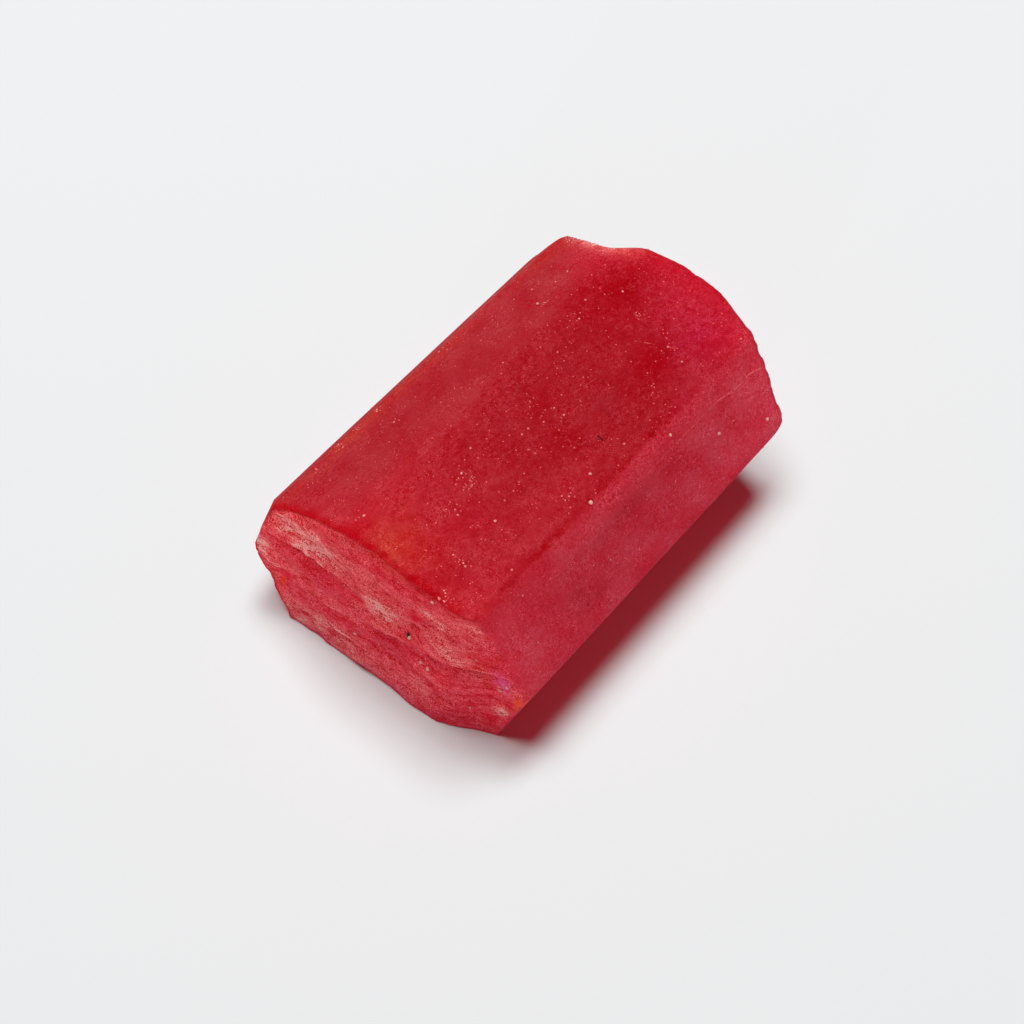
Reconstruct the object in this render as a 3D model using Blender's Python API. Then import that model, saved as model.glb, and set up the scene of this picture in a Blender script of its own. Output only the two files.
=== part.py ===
"""Rough ruby: one stout six-sided crystal, snapped across at both ends, lying on a side face.

The long axis runs along X and Z is up. The near break is at -X and the far break at +X, and the
origin is the middle of the stone's outline, on the surface it rests on. Sizes below are in
millimetres. The mesh is shaped in them, and scaled to metres when it is finished.
"""

import math
from typing import NamedTuple

import bmesh
import bpy
import numpy as np
from mathutils import Vector

MM = 0.001

# Driving dimensions
LENGTH = 44.8  # along the crystal, between the middle planes of the two breaks
HEIGHT = 19.0  # from the face it rests on to the face on top
WIDTH = 31.9  # across, from the left long edge to the right one
EDGE_HEIGHT = 9.5  # of the left and right long edges above the rest face
TOP_LEFT_EDGE = 4.9  # Y of the edge between the top and the left bevel, at mid length
BEVEL_LEAN = 0.027  # how much deeper the left bevel bites per millimetre towards -X

# Wear
EDGE_WEAR = 0.5  # width taken off the long edges
SOFT_EDGE_WEAR = 1.5  # the same on the faint edge between top and bevel
RIM_WEAR = 0.012  # share of its distance from the middle line that a rim is drawn in
RIM_NIBBLE = 0.016  # the most that nibbles add to that
RIM_REACH = 0.55  # how far from a break its rim wear fades
FACE_SWELL = 0.005  # share by which the faces wander in
SWELL_LENGTH = 9.0  # spacing of those swellings along the crystal

# Breaks
NEAR_TOP = -18.9  # X of the near break at the top face
NEAR_LEAN = 0.165  # how far it leans out towards its foot, per millimetre of height
NEAR_TWIST = 0.0039  # what each millimetre to the left adds to that
NEAR_FALL_BACK = 1.9  # how far its right-hand side falls back
FALL_BACK_START = -7.4  # Y where that begins
FALL_BACK_RUN = 6.6  # and the run over which it is reached
FAR_RIM = 20.9  # X of the far break at its sides
FAR_DOME = 2.2  # how far its middle stands out
DOME_MIDDLE = -0.7  # Y of the dome's crown
DOME_REACH = 7.6  # half the dome's breadth
FAR_LEAN = 0.03  # how far it leans out towards the top, per millimetre of height
CALM_RIM_START = 14.5  # height above which the far break is smoother
CALM_RIM_RUN = 4.0
SPLINTER_SLOPE = 0.32  # the splinters climb this much per millimetre to the right
SPLINTER_LEVEL = 0.15  # taken off, so that splinters don't shift the break

# Mesh
GRID_STEP = 0.85  # spacing of the lengthwise cuts, which carry the relief of the breaks
END_RINGS = (0.35, 0.8, 1.6, 3.2, 6.5)  # distances of the cross cuts from each end
MIDDLE_RINGS = 5  # cross cuts spread over the rest
SNAP = 0.08  # a cut this near a corner goes through it
FOOT_MARGIN = 1.4  # the rest face is flat up to this far from each break

# Colour and finish of the stone
RUBY_RED = (0.46, 0.012, 0.022, 1.0)
RUBY_ROUGHNESS = 0.42


class PrismFace(NamedTuple):
    """A natural face: the way it looks, in degrees from +Y towards +Z, and a point on it."""

    facing: float
    y: float
    z: float
    lean: float = 0.0


class Chip(NamedTuple):
    """A corner knocked off along a plane: a point on the plane, and the way it looks."""

    point: tuple[float, float, float]
    normal: tuple[float, float, float]


class Dent(NamedTuple):
    """A hollow in a break, or a lump where depth is negative, drawn out along a slanted line."""

    y: float
    z: float
    reach_y: float
    reach_z: float
    depth: float
    slant: float = 0.0


class Noise(NamedTuple):
    """One layer of splinters: grain size across Y and up Z, height, and random seed."""

    grain_y: float
    grain_z: float
    height: float
    seed: int


PRISM_FACES = (
    PrismFace(90, 0, HEIGHT),
    PrismFace(60, TOP_LEFT_EDGE, HEIGHT, -BEVEL_LEAN),
    PrismFace(30, WIDTH / 2, EDGE_HEIGHT),
    PrismFace(-30, WIDTH / 2, EDGE_HEIGHT),
    PrismFace(-164, -WIDTH / 2, EDGE_HEIGHT),
    PrismFace(150, -WIDTH / 2, EDGE_HEIGHT),
)

CHIPS = (
    Chip((-17.7, 15.9, 9.4), (-0.383, 0.863, 0.330)),
    Chip((19.4, 9.4, 17.6), (0.45, 0.40, 0.80)),
    Chip((20.4, -14.4, 6.4), (0.50, -0.45, -0.74)),
    Chip((21.0, 9.0, 0.4), (0.66, 0.42, -0.62)),
)

NEAR_DENTS = (
    Dent(9.0, 12.2, 6.0, 1.7, 0.75, 0.10),
    Dent(8.5, 9.2, 6.5, 0.9, -0.35, 0.10),
    Dent(-0.5, 9.6, 3.4, 1.2, 0.55, -0.45),
    Dent(-4.2, 11.6, 1.4, 0.9, 0.60, -0.40),
    Dent(-7.5, 15.4, 4.2, 1.6, 0.50, -0.30),
    Dent(-0.5, 16.8, 5.5, 1.1, -0.30, -0.05),
    Dent(11.0, 5.0, 1.3, 1.5, 0.55),
    Dent(2.0, 4.2, 5.0, 1.1, 0.35, -0.25),
    Dent(-8.0, 7.4, 4.4, 1.2, -0.40, -0.35),
    Dent(1.5, 1.2, 3.0, 0.9, -0.35),
    Dent(-5.5, 0.6, 4.0, 2.2, -0.45),
    Dent(13.0, 6.0, 2.4, 2.0, -0.45),
)

FAR_DENTS = (
    Dent(3.0, 8.0, 7.0, 4.5, 1.10, 0.3),
    Dent(-9.0, 11.0, 3.2, 4.0, -0.70, -0.4),
    Dent(10.5, 12.5, 2.6, 2.0, 0.70, 0.5),
    Dent(-4.0, 3.0, 6.0, 1.6, -0.60, 0.1),
    Dent(-1.0, 13.6, 4.0, 1.4, 0.45, 0.2),
    Dent(6.4, 18.6, 1.7, 2.6, 1.15),
    Dent(2.6, 18.8, 1.6, 1.5, 0.35),
    Dent(12.6, 14.8, 2.2, 2.4, -0.60),
    Dent(8.0, 3.6, 3.4, 1.8, 0.80, -0.3),
)

NEAR_SPLINTERS = (Noise(7.0, 1.5, 0.26, 11), Noise(3.2, 0.95, 0.13, 12), Noise(2.6, 2.4, 0.12, 13))
FAR_SPLINTERS = (Noise(7.0, 1.5, 0.26, 31), Noise(3.2, 0.95, 0.13, 32), Noise(2.6, 2.4, 0.12, 33))
RIM_SEED = 70
SWELL_SEED = 90
CHIP_SEED = 50
LATTICE = 64  # the noise repeats after this many grains


def smooth_step(value: np.ndarray) -> np.ndarray:
    """0 below 0, 1 above 1, and an even S-curve between."""
    held = np.clip(value, 0.0, 1.0)
    return held * held * (3.0 - 2.0 * held)


def value_noise(u: np.ndarray, v: np.ndarray, seed: int) -> np.ndarray:
    """Soft noise from -1 to 1: random values at whole numbers, eased in between."""
    values = np.random.default_rng(seed).uniform(-1.0, 1.0, (LATTICE, LATTICE))
    low_u = np.floor(u).astype(int)
    low_v = np.floor(v).astype(int)
    ease_u = smooth_step(u - low_u)
    ease_v = smooth_step(v - low_v)

    def corner(step_u: int, step_v: int) -> np.ndarray:
        return values[(low_u + step_u) % LATTICE, (low_v + step_v) % LATTICE]

    lower = corner(0, 0) * (1 - ease_u) + corner(1, 0) * ease_u
    upper = corner(0, 1) * (1 - ease_u) + corner(1, 1) * ease_u
    return lower * (1 - ease_v) + upper * ease_v


def dents(y: np.ndarray, z: np.ndarray, shapes: tuple[Dent, ...]) -> np.ndarray:
    """How deep the bell-shaped hollows of a break are at each point."""
    depth = np.zeros_like(y)
    for dent in shapes:
        along = (y - dent.y) / dent.reach_y
        across = (z - dent.z - dent.slant * (y - dent.y)) / dent.reach_z
        depth += dent.depth * np.exp(-(along**2) - across**2)
    return depth


def splinters(y: np.ndarray, z: np.ndarray, layers: tuple[Noise, ...]) -> np.ndarray:
    """How deep the splintery ledges are: two layers that climb to the right, and one of lumps."""
    ledge, step, lump = layers
    climbing = z + SPLINTER_SLOPE * y
    depth = ledge.height * np.abs(value_noise(y / ledge.grain_y, climbing / ledge.grain_z, ledge.seed))
    depth += step.height * value_noise(y / step.grain_y, climbing / step.grain_z, step.seed)
    depth += lump.height * value_noise(y / lump.grain_y, z / lump.grain_z, lump.seed)
    return depth - SPLINTER_LEVEL


def near_break(y: np.ndarray, z: np.ndarray) -> np.ndarray:
    """X of the near break: it leans out towards its foot and falls back at the right."""
    lean = NEAR_LEAN + NEAR_TWIST * y
    fall_back = NEAR_FALL_BACK * smooth_step((FALL_BACK_START - y) / FALL_BACK_RUN)
    surface = NEAR_TOP - lean * (HEIGHT - z) + fall_back
    return surface + dents(y, z, NEAR_DENTS) + splinters(y, z, NEAR_SPLINTERS)


def far_break(y: np.ndarray, z: np.ndarray) -> np.ndarray:
    """X of the far break: a low, broad dome with a notch in its upper rim."""
    dome = FAR_DOME * np.exp(-(((y - DOME_MIDDLE) / DOME_REACH) ** 4))
    surface = FAR_RIM + dome + FAR_LEAN * (z - HEIGHT)
    calm = 1.0 - 0.6 * smooth_step((z - CALM_RIM_START) / CALM_RIM_RUN)
    return surface - dents(y, z, FAR_DENTS) - calm * splinters(y, z, FAR_SPLINTERS)


def outward(face: PrismFace) -> Vector:
    """The unit normal of a natural face."""
    angle = math.radians(face.facing)
    return Vector((face.lean, math.cos(angle), math.sin(angle))).normalized()


def trim(mesh: bmesh.types.BMesh, point: Vector, normal: Vector) -> None:
    """Takes away what lies outside a plane and closes the cut with one face."""
    everything = mesh.verts[:] + mesh.edges[:] + mesh.faces[:]
    cut = bmesh.ops.bisect_plane(
        mesh, geom=everything, plane_co=point, plane_no=normal, clear_outer=True
    )
    rim = [part for part in cut["geom_cut"] if isinstance(part, bmesh.types.BMEdge)]
    bmesh.ops.edgeloop_fill(mesh, edges=rim)


def score(mesh: bmesh.types.BMesh, point: Vector, normal: Vector) -> None:
    """Cuts every face where it crosses a plane, and takes nothing away."""
    everything = mesh.verts[:] + mesh.edges[:] + mesh.faces[:]
    bmesh.ops.bisect_plane(mesh, geom=everything, dist=SNAP, plane_co=point, plane_no=normal)


def make_prism(mesh: bmesh.types.BMesh) -> None:
    """A block standing on Z = 0, trimmed by the crystal's natural faces."""
    block = bmesh.ops.create_cube(mesh, size=1.0)["verts"]
    bmesh.ops.scale(mesh, vec=(LENGTH, 2 * WIDTH, 2 * HEIGHT), verts=block)
    bmesh.ops.translate(mesh, vec=(0, 0, HEIGHT), verts=block)
    for face in PRISM_FACES:
        trim(mesh, Vector((0, face.y, face.z)), outward(face))


def wear_long_edges(mesh: bmesh.types.BMesh) -> None:
    """Rounds the long edges a little, and the faint one beside the bevel more."""
    soft, firm = [], []
    for edge in mesh.edges:
        first, second = (vertex.co for vertex in edge.verts)
        if abs(first.x - second.x) < LENGTH / 2:
            continue
        is_soft = first.z > HEIGHT - SNAP and first.y > 0
        (soft if is_soft else firm).append(edge)
    for edges, width in ((firm, EDGE_WEAR), (soft, SOFT_EDGE_WEAR)):
        bmesh.ops.bevel(mesh, geom=edges, offset=width, segments=2, profile=0.5, affect="EDGES")


def score_grid(mesh: bmesh.types.BMesh) -> None:
    """Scores the prism lengthwise on a grid, and across in rings that crowd towards its ends."""
    for y in np.arange(-WIDTH / 2 + GRID_STEP, WIDTH / 2, GRID_STEP):
        score(mesh, Vector((0, y, 0)), Vector((0, 1, 0)))
    for z in np.arange(GRID_STEP, HEIGHT, GRID_STEP):
        score(mesh, Vector((0, 0, z)), Vector((0, 0, 1)))
    half = LENGTH / 2
    last = half - END_RINGS[-1]
    rings = list(np.linspace(-last, last, MIDDLE_RINGS + 2)[1:-1])
    for distance in END_RINGS:
        rings += [distance - half, half - distance]
    for x in sorted(rings):
        score(mesh, Vector((x, 0, 0)), Vector((1, 0, 0)))


def from_middle_line(points: np.ndarray) -> tuple[np.ndarray, np.ndarray]:
    """Each point's (y, z) from the crystal's middle line, and its turn round it in grains."""
    spoke = points[:, 1:] - np.array([0.0, HEIGHT / 2])
    turn = np.arctan2(spoke[:, 1], spoke[:, 0]) / math.tau * LATTICE
    return spoke, turn


def let_faces_swell(points: np.ndarray) -> None:
    """Makes the faces above the rest face very slightly uneven."""
    spoke, turn = from_middle_line(points)
    swell = value_noise(points[:, 0] / SWELL_LENGTH, turn / 3.2, SWELL_SEED)
    above_foot = smooth_step((points[:, 2] - EDGE_WEAR) / 3.0)
    share = FACE_SWELL * (0.5 + 0.5 * swell) * above_foot
    points[:, 1:] -= spoke * share[:, None]


def wear_rims(points: np.ndarray, from_end: np.ndarray) -> None:
    """Draws the rims of both ends in towards the middle line, by uneven nibbles."""
    spoke, turn = from_middle_line(points)
    bites = value_noise(turn, np.sign(points[:, 0]) * 7.5, RIM_SEED)
    share = (RIM_WEAR + RIM_NIBBLE * np.clip(bites, 0, 1)) * np.exp(-from_end / RIM_REACH)
    points[:, 1:] -= spoke * share[:, None]


def break_ends(points: np.ndarray) -> None:
    """Slides every point along X, so that the flat ends take the shapes of the breaks."""
    share = points[:, 0] / LENGTH + 0.5
    near = near_break(points[:, 1], points[:, 2])
    far = far_break(points[:, 1], points[:, 2])
    points[:, 0] = near + (far - near) * share


def knock_off_chips(points: np.ndarray) -> None:
    """Lays every point outside a chip's plane back onto it, a little unevenly."""
    for number, chip in enumerate(CHIPS):
        normal = np.array(chip.normal) / np.linalg.norm(chip.normal)
        outside = np.clip((points - np.array(chip.point)) @ normal, 0.0, None)
        uneven = 1.0 + 0.1 * value_noise(points[:, 1], points[:, 2], CHIP_SEED + number)
        points -= (outside * uneven)[:, None] * normal


def shape_stone(mesh: bmesh.types.BMesh) -> None:
    """Gives the scored prism its uneven faces, worn rims, breaks and chips, on a flat foot."""
    points = np.array([vertex.co[:] for vertex in mesh.verts])
    from_end = LENGTH / 2 - np.abs(points[:, 0])
    foot = (points[:, 2] < SNAP) & (from_end > FOOT_MARGIN)
    let_faces_swell(points)
    wear_rims(points, from_end)
    break_ends(points)
    knock_off_chips(points)
    points[foot, 2] = 0.0
    points[:, 2] = np.maximum(points[:, 2], 0.0)
    points[:, :2] -= (points[:, :2].min(axis=0) + points[:, :2].max(axis=0)) / 2
    for vertex, place in zip(mesh.verts, points):
        vertex.co = place


def ruby_material() -> bpy.types.Material:
    """Waxy, deep red stone."""
    material = bpy.data.materials.new("ruby_red_stone")
    material.use_nodes = True
    shader = material.node_tree.nodes["Principled BSDF"]
    shader.inputs["Base Color"].default_value = RUBY_RED
    shader.inputs["Roughness"].default_value = RUBY_ROUGHNESS
    shader.inputs["Metallic"].default_value = 0.0
    return material


def make_crystal() -> bpy.types.Object:
    """The whole stone as one closed mesh."""
    mesh = bmesh.new()
    make_prism(mesh)
    wear_long_edges(mesh)
    score_grid(mesh)
    shape_stone(mesh)
    bmesh.ops.triangulate(mesh, faces=mesh.faces[:])
    bmesh.ops.recalc_face_normals(mesh, faces=mesh.faces[:])
    bmesh.ops.scale(mesh, vec=(MM, MM, MM), verts=mesh.verts[:])
    data = bpy.data.meshes.new("ruby_crystal")
    mesh.to_mesh(data)
    mesh.free()
    data.materials.append(ruby_material())
    return bpy.data.objects.new("ruby_crystal", data)


def main() -> None:
    """Clears the scene and puts the stone into a collection of its own."""
    for leftover in list(bpy.data.objects):
        bpy.data.objects.remove(leftover, do_unlink=True)
    home = bpy.data.collections.new("rough_ruby")
    bpy.context.scene.collection.children.link(home)
    home.objects.link(make_crystal())


main()
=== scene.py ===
"""Look of a rough ruby: one stout six-sided crystal, snapped across at both ends.

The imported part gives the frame. The stone's own surface is worked out again here from the same
sizes, with finer relief, and dressed as waxy red stone with frosted, splintery breaks. Sizes below
are in millimetres in the part's frame: X along the crystal, Z up, the origin under its middle.
Meshes are scaled to metres as they are made.
"""

import logging
import math
from dataclasses import dataclass
from enum import Enum, IntEnum

import bpy
import numpy as np
from mathutils import Euler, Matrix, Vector


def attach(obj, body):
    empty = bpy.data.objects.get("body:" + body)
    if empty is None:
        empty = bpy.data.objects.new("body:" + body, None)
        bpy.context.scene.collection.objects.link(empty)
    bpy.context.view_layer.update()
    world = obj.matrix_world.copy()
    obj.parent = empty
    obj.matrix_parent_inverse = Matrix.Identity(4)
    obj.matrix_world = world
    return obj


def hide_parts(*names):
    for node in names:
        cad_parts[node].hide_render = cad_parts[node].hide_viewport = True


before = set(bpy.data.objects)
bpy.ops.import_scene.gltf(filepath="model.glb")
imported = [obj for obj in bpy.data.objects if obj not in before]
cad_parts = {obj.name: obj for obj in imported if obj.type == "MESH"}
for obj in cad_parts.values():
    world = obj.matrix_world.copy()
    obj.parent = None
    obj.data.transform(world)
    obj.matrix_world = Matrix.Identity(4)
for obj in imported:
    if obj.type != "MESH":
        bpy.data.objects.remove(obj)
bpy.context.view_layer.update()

MM = 0.001
LOG = logging.getLogger("rough_ruby")
Array = np.ndarray
Socket = bpy.types.NodeSocket
Colour = tuple[float, float, float, float]
Triple = tuple[float, float, float]


class Tone(Enum):
    """Colours of the stone, as linear red, green and blue."""

    RED = (0.395, 0.0114, 0.0205)
    LIGHT = (0.530, 0.0205, 0.0340)
    DEEP = (0.365, 0.0012, 0.0052)
    # painted glow: the deep red that light coming through the stone gives its near rim
    GLOW = (0.450, 0.0014, 0.0075)
    SCARLET = (0.800, 0.0060, 0.0270)
    RUBY = (0.530, 0.0120, 0.0330)
    ROSE = (0.410, 0.0205, 0.0300)
    PINK = (0.710, 0.0405, 0.0720)
    CANDY = (0.850, 0.0620, 0.1060)
    CRIMSON = (0.620, 0.0180, 0.0450)
    # partly painted light: the breaks' bright red stands for light that comes through the stone
    BREAK = (0.860, 0.0500, 0.0830)
    FROST = (1.000, 0.2300, 0.2200)
    WHITE = (1.000, 0.4800, 0.4500)
    # pale specks: partly grit, partly painted glints
    SPECK = (1.000, 0.1900, 0.1800)
    GLINT = (1.000, 0.4200, 0.3800)
    WISP = (0.600, 0.0800, 0.0800)
    ORANGE = (0.600, 0.0620, 0.0250)
    RUST = (0.460, 0.0330, 0.0200)
    EMBER = (1.000, 0.0700, 0.0220)
    MAGENTA = (0.500, 0.0080, 0.0450)
    # bright pink: a painted highlight where it is laid strongly, a faint pink where weakly
    PINK_HIGHLIGHT = (1.000, 0.1500, 0.4000)
    DUSK = (0.240, 0.0120, 0.0180)
    # painted shadow beside each speck
    SHADE = (0.230, 0.0020, 0.0060)
    COAL = (0.030, 0.0080, 0.0070)
    SAND = (0.900, 0.6200, 0.4600)

    @property
    def colour(self) -> Colour:
        """The tone as a shader colour."""
        return (*self.value, 1.0)


class Seed(IntEnum):
    """Seeds of the noises that have no layer of their own."""

    CHIPS = 50
    BITES = 70
    NIBBLES = 71
    RIM_LINE = 72
    WISPS = 73
    PATCHES = 74
    JAGS = 75
    SWELL = 90


def smooth_step(value: Array) -> Array:
    """0 below 0, 1 above 1, and the even S-curve 3t^2 - 2t^3 between."""
    held = np.clip(value, 0.0, 1.0)
    return held * held * (3.0 - 2.0 * held)


def rise(value: Array, start: float, over: float) -> Array:
    """Eases from 0 where a value is start to 1 where it is start + over."""
    return smooth_step((value - start) / over)


def bell(value: Array, power: int = 2) -> Array:
    """1 at 0, and falling away on both sides as exp(-value^power)."""
    return np.exp(-(value**power))


def unit(vectors: Array) -> Array:
    """Vectors of length one along the last axis."""
    return vectors / np.linalg.norm(vectors, axis=-1, keepdims=True)


def value_noise(u: Array, v: Array, seed: int, lattice: int = 64) -> Array:
    """Soft noise from -1 to 1: random values at whole numbers, eased in between.

    Args:
        u: First coordinate, in grains.
        v: Second coordinate, in grains.
        seed: Seed of the random values.
        lattice: How many grains pass before the values repeat.

    Returns:
        The noise at each point.
    """
    values = np.random.default_rng(int(seed)).uniform(-1.0, 1.0, (lattice, lattice))
    low_u = np.floor(u).astype(int)
    low_v = np.floor(v).astype(int)
    ease_u = smooth_step(u - low_u)
    ease_v = smooth_step(v - low_v)

    def corner(step_u: int, step_v: int) -> Array:
        """The random values at one corner of each point's cell."""
        return values[(low_u + step_u) % lattice, (low_v + step_v) % lattice]

    lower = corner(0, 0) * (1 - ease_u) + corner(1, 0) * ease_u
    upper = corner(0, 1) * (1 - ease_u) + corner(1, 1) * ease_u
    return lower * (1 - ease_v) + upper * ease_v


@dataclass(frozen=True)
class NaturalFace:
    """A flat face of the prism.

    facing is the way it looks, in degrees from +Y towards +Z, and y and z are a point on it. lean
    tips its normal along X, and tone is its main colour.
    """

    facing: float
    y: float
    z: float
    tone: Tone
    lean: float = 0.0


@dataclass(frozen=True)
class Chip:
    """A corner knocked off along a plane: a point on the plane, and the way it looks."""

    point: Triple
    normal: Triple


@dataclass(frozen=True)
class Dent:
    """A hollow in a break, or a lump where depth is negative, drawn out along a slanted line."""

    y: float
    z: float
    reach_y: float
    reach_z: float
    depth: float
    slant: float = 0.0

    def depth_at(self, y: Array, z: Array) -> Array:
        """Depth times exp(-(along / reach_y)^2 - (across / reach_z)^2).

        Args:
            y: Places across.
            z: Heights.

        Returns:
            The depth at each point.
        """
        along = (y - self.y) / self.reach_y
        across = (z - self.z - self.slant * (y - self.y)) / self.reach_z
        return self.depth * np.exp(-(along**2) - across**2)


@dataclass(frozen=True)
class Ledge:
    """A step across a break: it stands out above a slanted line and is hollow below it.

    It is strongest at y and z, and fades over reach along the line and over fade away from it.
    """

    y: float
    z: float
    reach: float
    height: float
    slant: float = 0.0
    fade: float = 0.9
    edge: float = 0.10

    def height_at(self, y: Array, z: Array, ragged: Array) -> Array:
        """Height tanh(across / edge) exp(-|across| / fade - (along / reach)^2).

        Args:
            y: Places across.
            z: Heights.
            ragged: How far its line is shifted at each point.

        Returns:
            How far it stands out, negative where it is hollow.
        """
        along = (y - self.y) / self.reach
        across = z - self.z - self.slant * (y - self.y) + ragged
        fading = np.exp(-np.abs(across) / self.fade - along**2)
        return self.height * np.tanh(across / self.edge) * fading


@dataclass(frozen=True)
class Layer:
    """One layer of noise: grain size across Y and up Z, height, random seed and lattice size."""

    grain_y: float
    grain_z: float
    height: float
    seed: int
    lattice: int = 64

    def noise(self, y: Array, z: Array) -> Array:
        """The layer's noise from -1 to 1, before its height."""
        return value_noise(y / self.grain_y, z / self.grain_z, self.seed, self.lattice)


@dataclass(frozen=True)
class Break:
    """A broken end: its hollows, ledges, splinters and hairs, and where it is frosted.

    Splinters and hairs climb by slope for each millimetre towards -Y, and level is taken off their
    depth, so that the break stays where it is on the whole.
    """

    dents: tuple[Dent, ...]
    ledges: tuple[Ledge, ...]
    splinters: tuple[Layer, Layer, Layer]
    hairs: tuple[Layer, ...]
    veils: tuple[Dent, ...]
    ragged: Layer = Layer(0.8, 3.0, 0.16, 76, 251)
    slope: float = 0.32
    level: float = 0.15
    hair_level: float = 0.35

    def hollows(self, y: Array, z: Array) -> Array:
        """Depth of all dents at each point."""
        return sum(dent.depth_at(y, z) for dent in self.dents)

    def veil(self, y: Array, z: Array) -> Array:
        """How frosted each point is, 0 where it is bare."""
        return sum(patch.depth_at(y, z) for patch in self.veils)

    def steps(self, y: Array, z: Array) -> Array:
        """Depth of all ledges at each point, negative where they stand out."""
        ragged = self.ragged.height * self.ragged.noise(y, z)
        return -sum(ledge.height_at(y, z, ragged) for ledge in self.ledges)

    def rough(self, y: Array, z: Array) -> Array:
        """Depth of the splinters: ridged noise, plain noise and lumps, and ridged hairs.

        Args:
            y: Places across.
            z: Heights.

        Returns:
            The depth at each point.
        """
        ridge, plain, lump = self.splinters
        climbing = z + self.slope * y
        depth = ridge.height * np.abs(ridge.noise(y, climbing))
        depth += plain.height * plain.noise(y, climbing)
        depth += lump.height * lump.noise(y, z)
        for hair in self.hairs:
            depth += hair.height * (np.abs(hair.noise(y, climbing)) - self.hair_level)
        return depth - self.level


@dataclass(frozen=True)
class Wash:
    """A soft patch of colour: its tone, centre, reach along X, Y and Z, strength and slant.

    The patch climbs by slant for each millimetre towards +Y, and noise eats into it by the share
    patchy. On a break it clears away the frost by the share bare.
    """

    tone: Tone
    centre: Triple
    reach: Triple
    strength: float
    slant: float = 0.0
    patchy: float = 0.0
    bare: float = 0.0


@dataclass(frozen=True)
class Scratch:
    """A fine straight mark on the skin: its ends, width, tone and strength."""

    start: Triple
    end: Triple
    width: float
    tone: Tone
    strength: float


@dataclass(frozen=True)
class Sparkle:
    """A round cluster of bright specks painted as glints, or a ring of them: its centre, radius and
    thickness.
    """

    centre: Triple
    radius: float
    thickness: float


@dataclass(frozen=True)
class Grain:
    """A stuck grain: about where it sits, its radius and its tone."""

    place: Triple
    radius: float
    tone: Tone


def mesh_object(name: str, points: Array, faces: list[Array]) -> bpy.types.Object:
    """Puts points in millimetres and their faces into a smooth mesh object.

    Args:
        name: Name of the object and its mesh.
        points: Corner places, shape (n, 3).
        faces: Blocks of faces, each an array of corner numbers with one face a row.

    Returns:
        The linked object, at the origin.
    """
    data = bpy.data.meshes.new(name)
    data.from_pydata((points * MM).tolist(), [], [face for block in faces for face in block.tolist()])
    data.polygons.foreach_set("use_smooth", np.ones(len(data.polygons), dtype=bool))
    data.update()
    made = bpy.data.objects.new(name, data)
    bpy.context.scene.collection.objects.link(made)
    return made


def add_colours(piece: bpy.types.Object, name: str, colours: Array) -> None:
    """Stores one colour a point as a mesh attribute.

    Args:
        piece: The mesh object.
        name: Name of the attribute.
        colours: Red, green, blue and alpha of each point.
    """
    layer = piece.data.attributes.new(name, "FLOAT_COLOR", "POINT")
    layer.data.foreach_set("color", colours.astype(np.float32).ravel())


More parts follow.
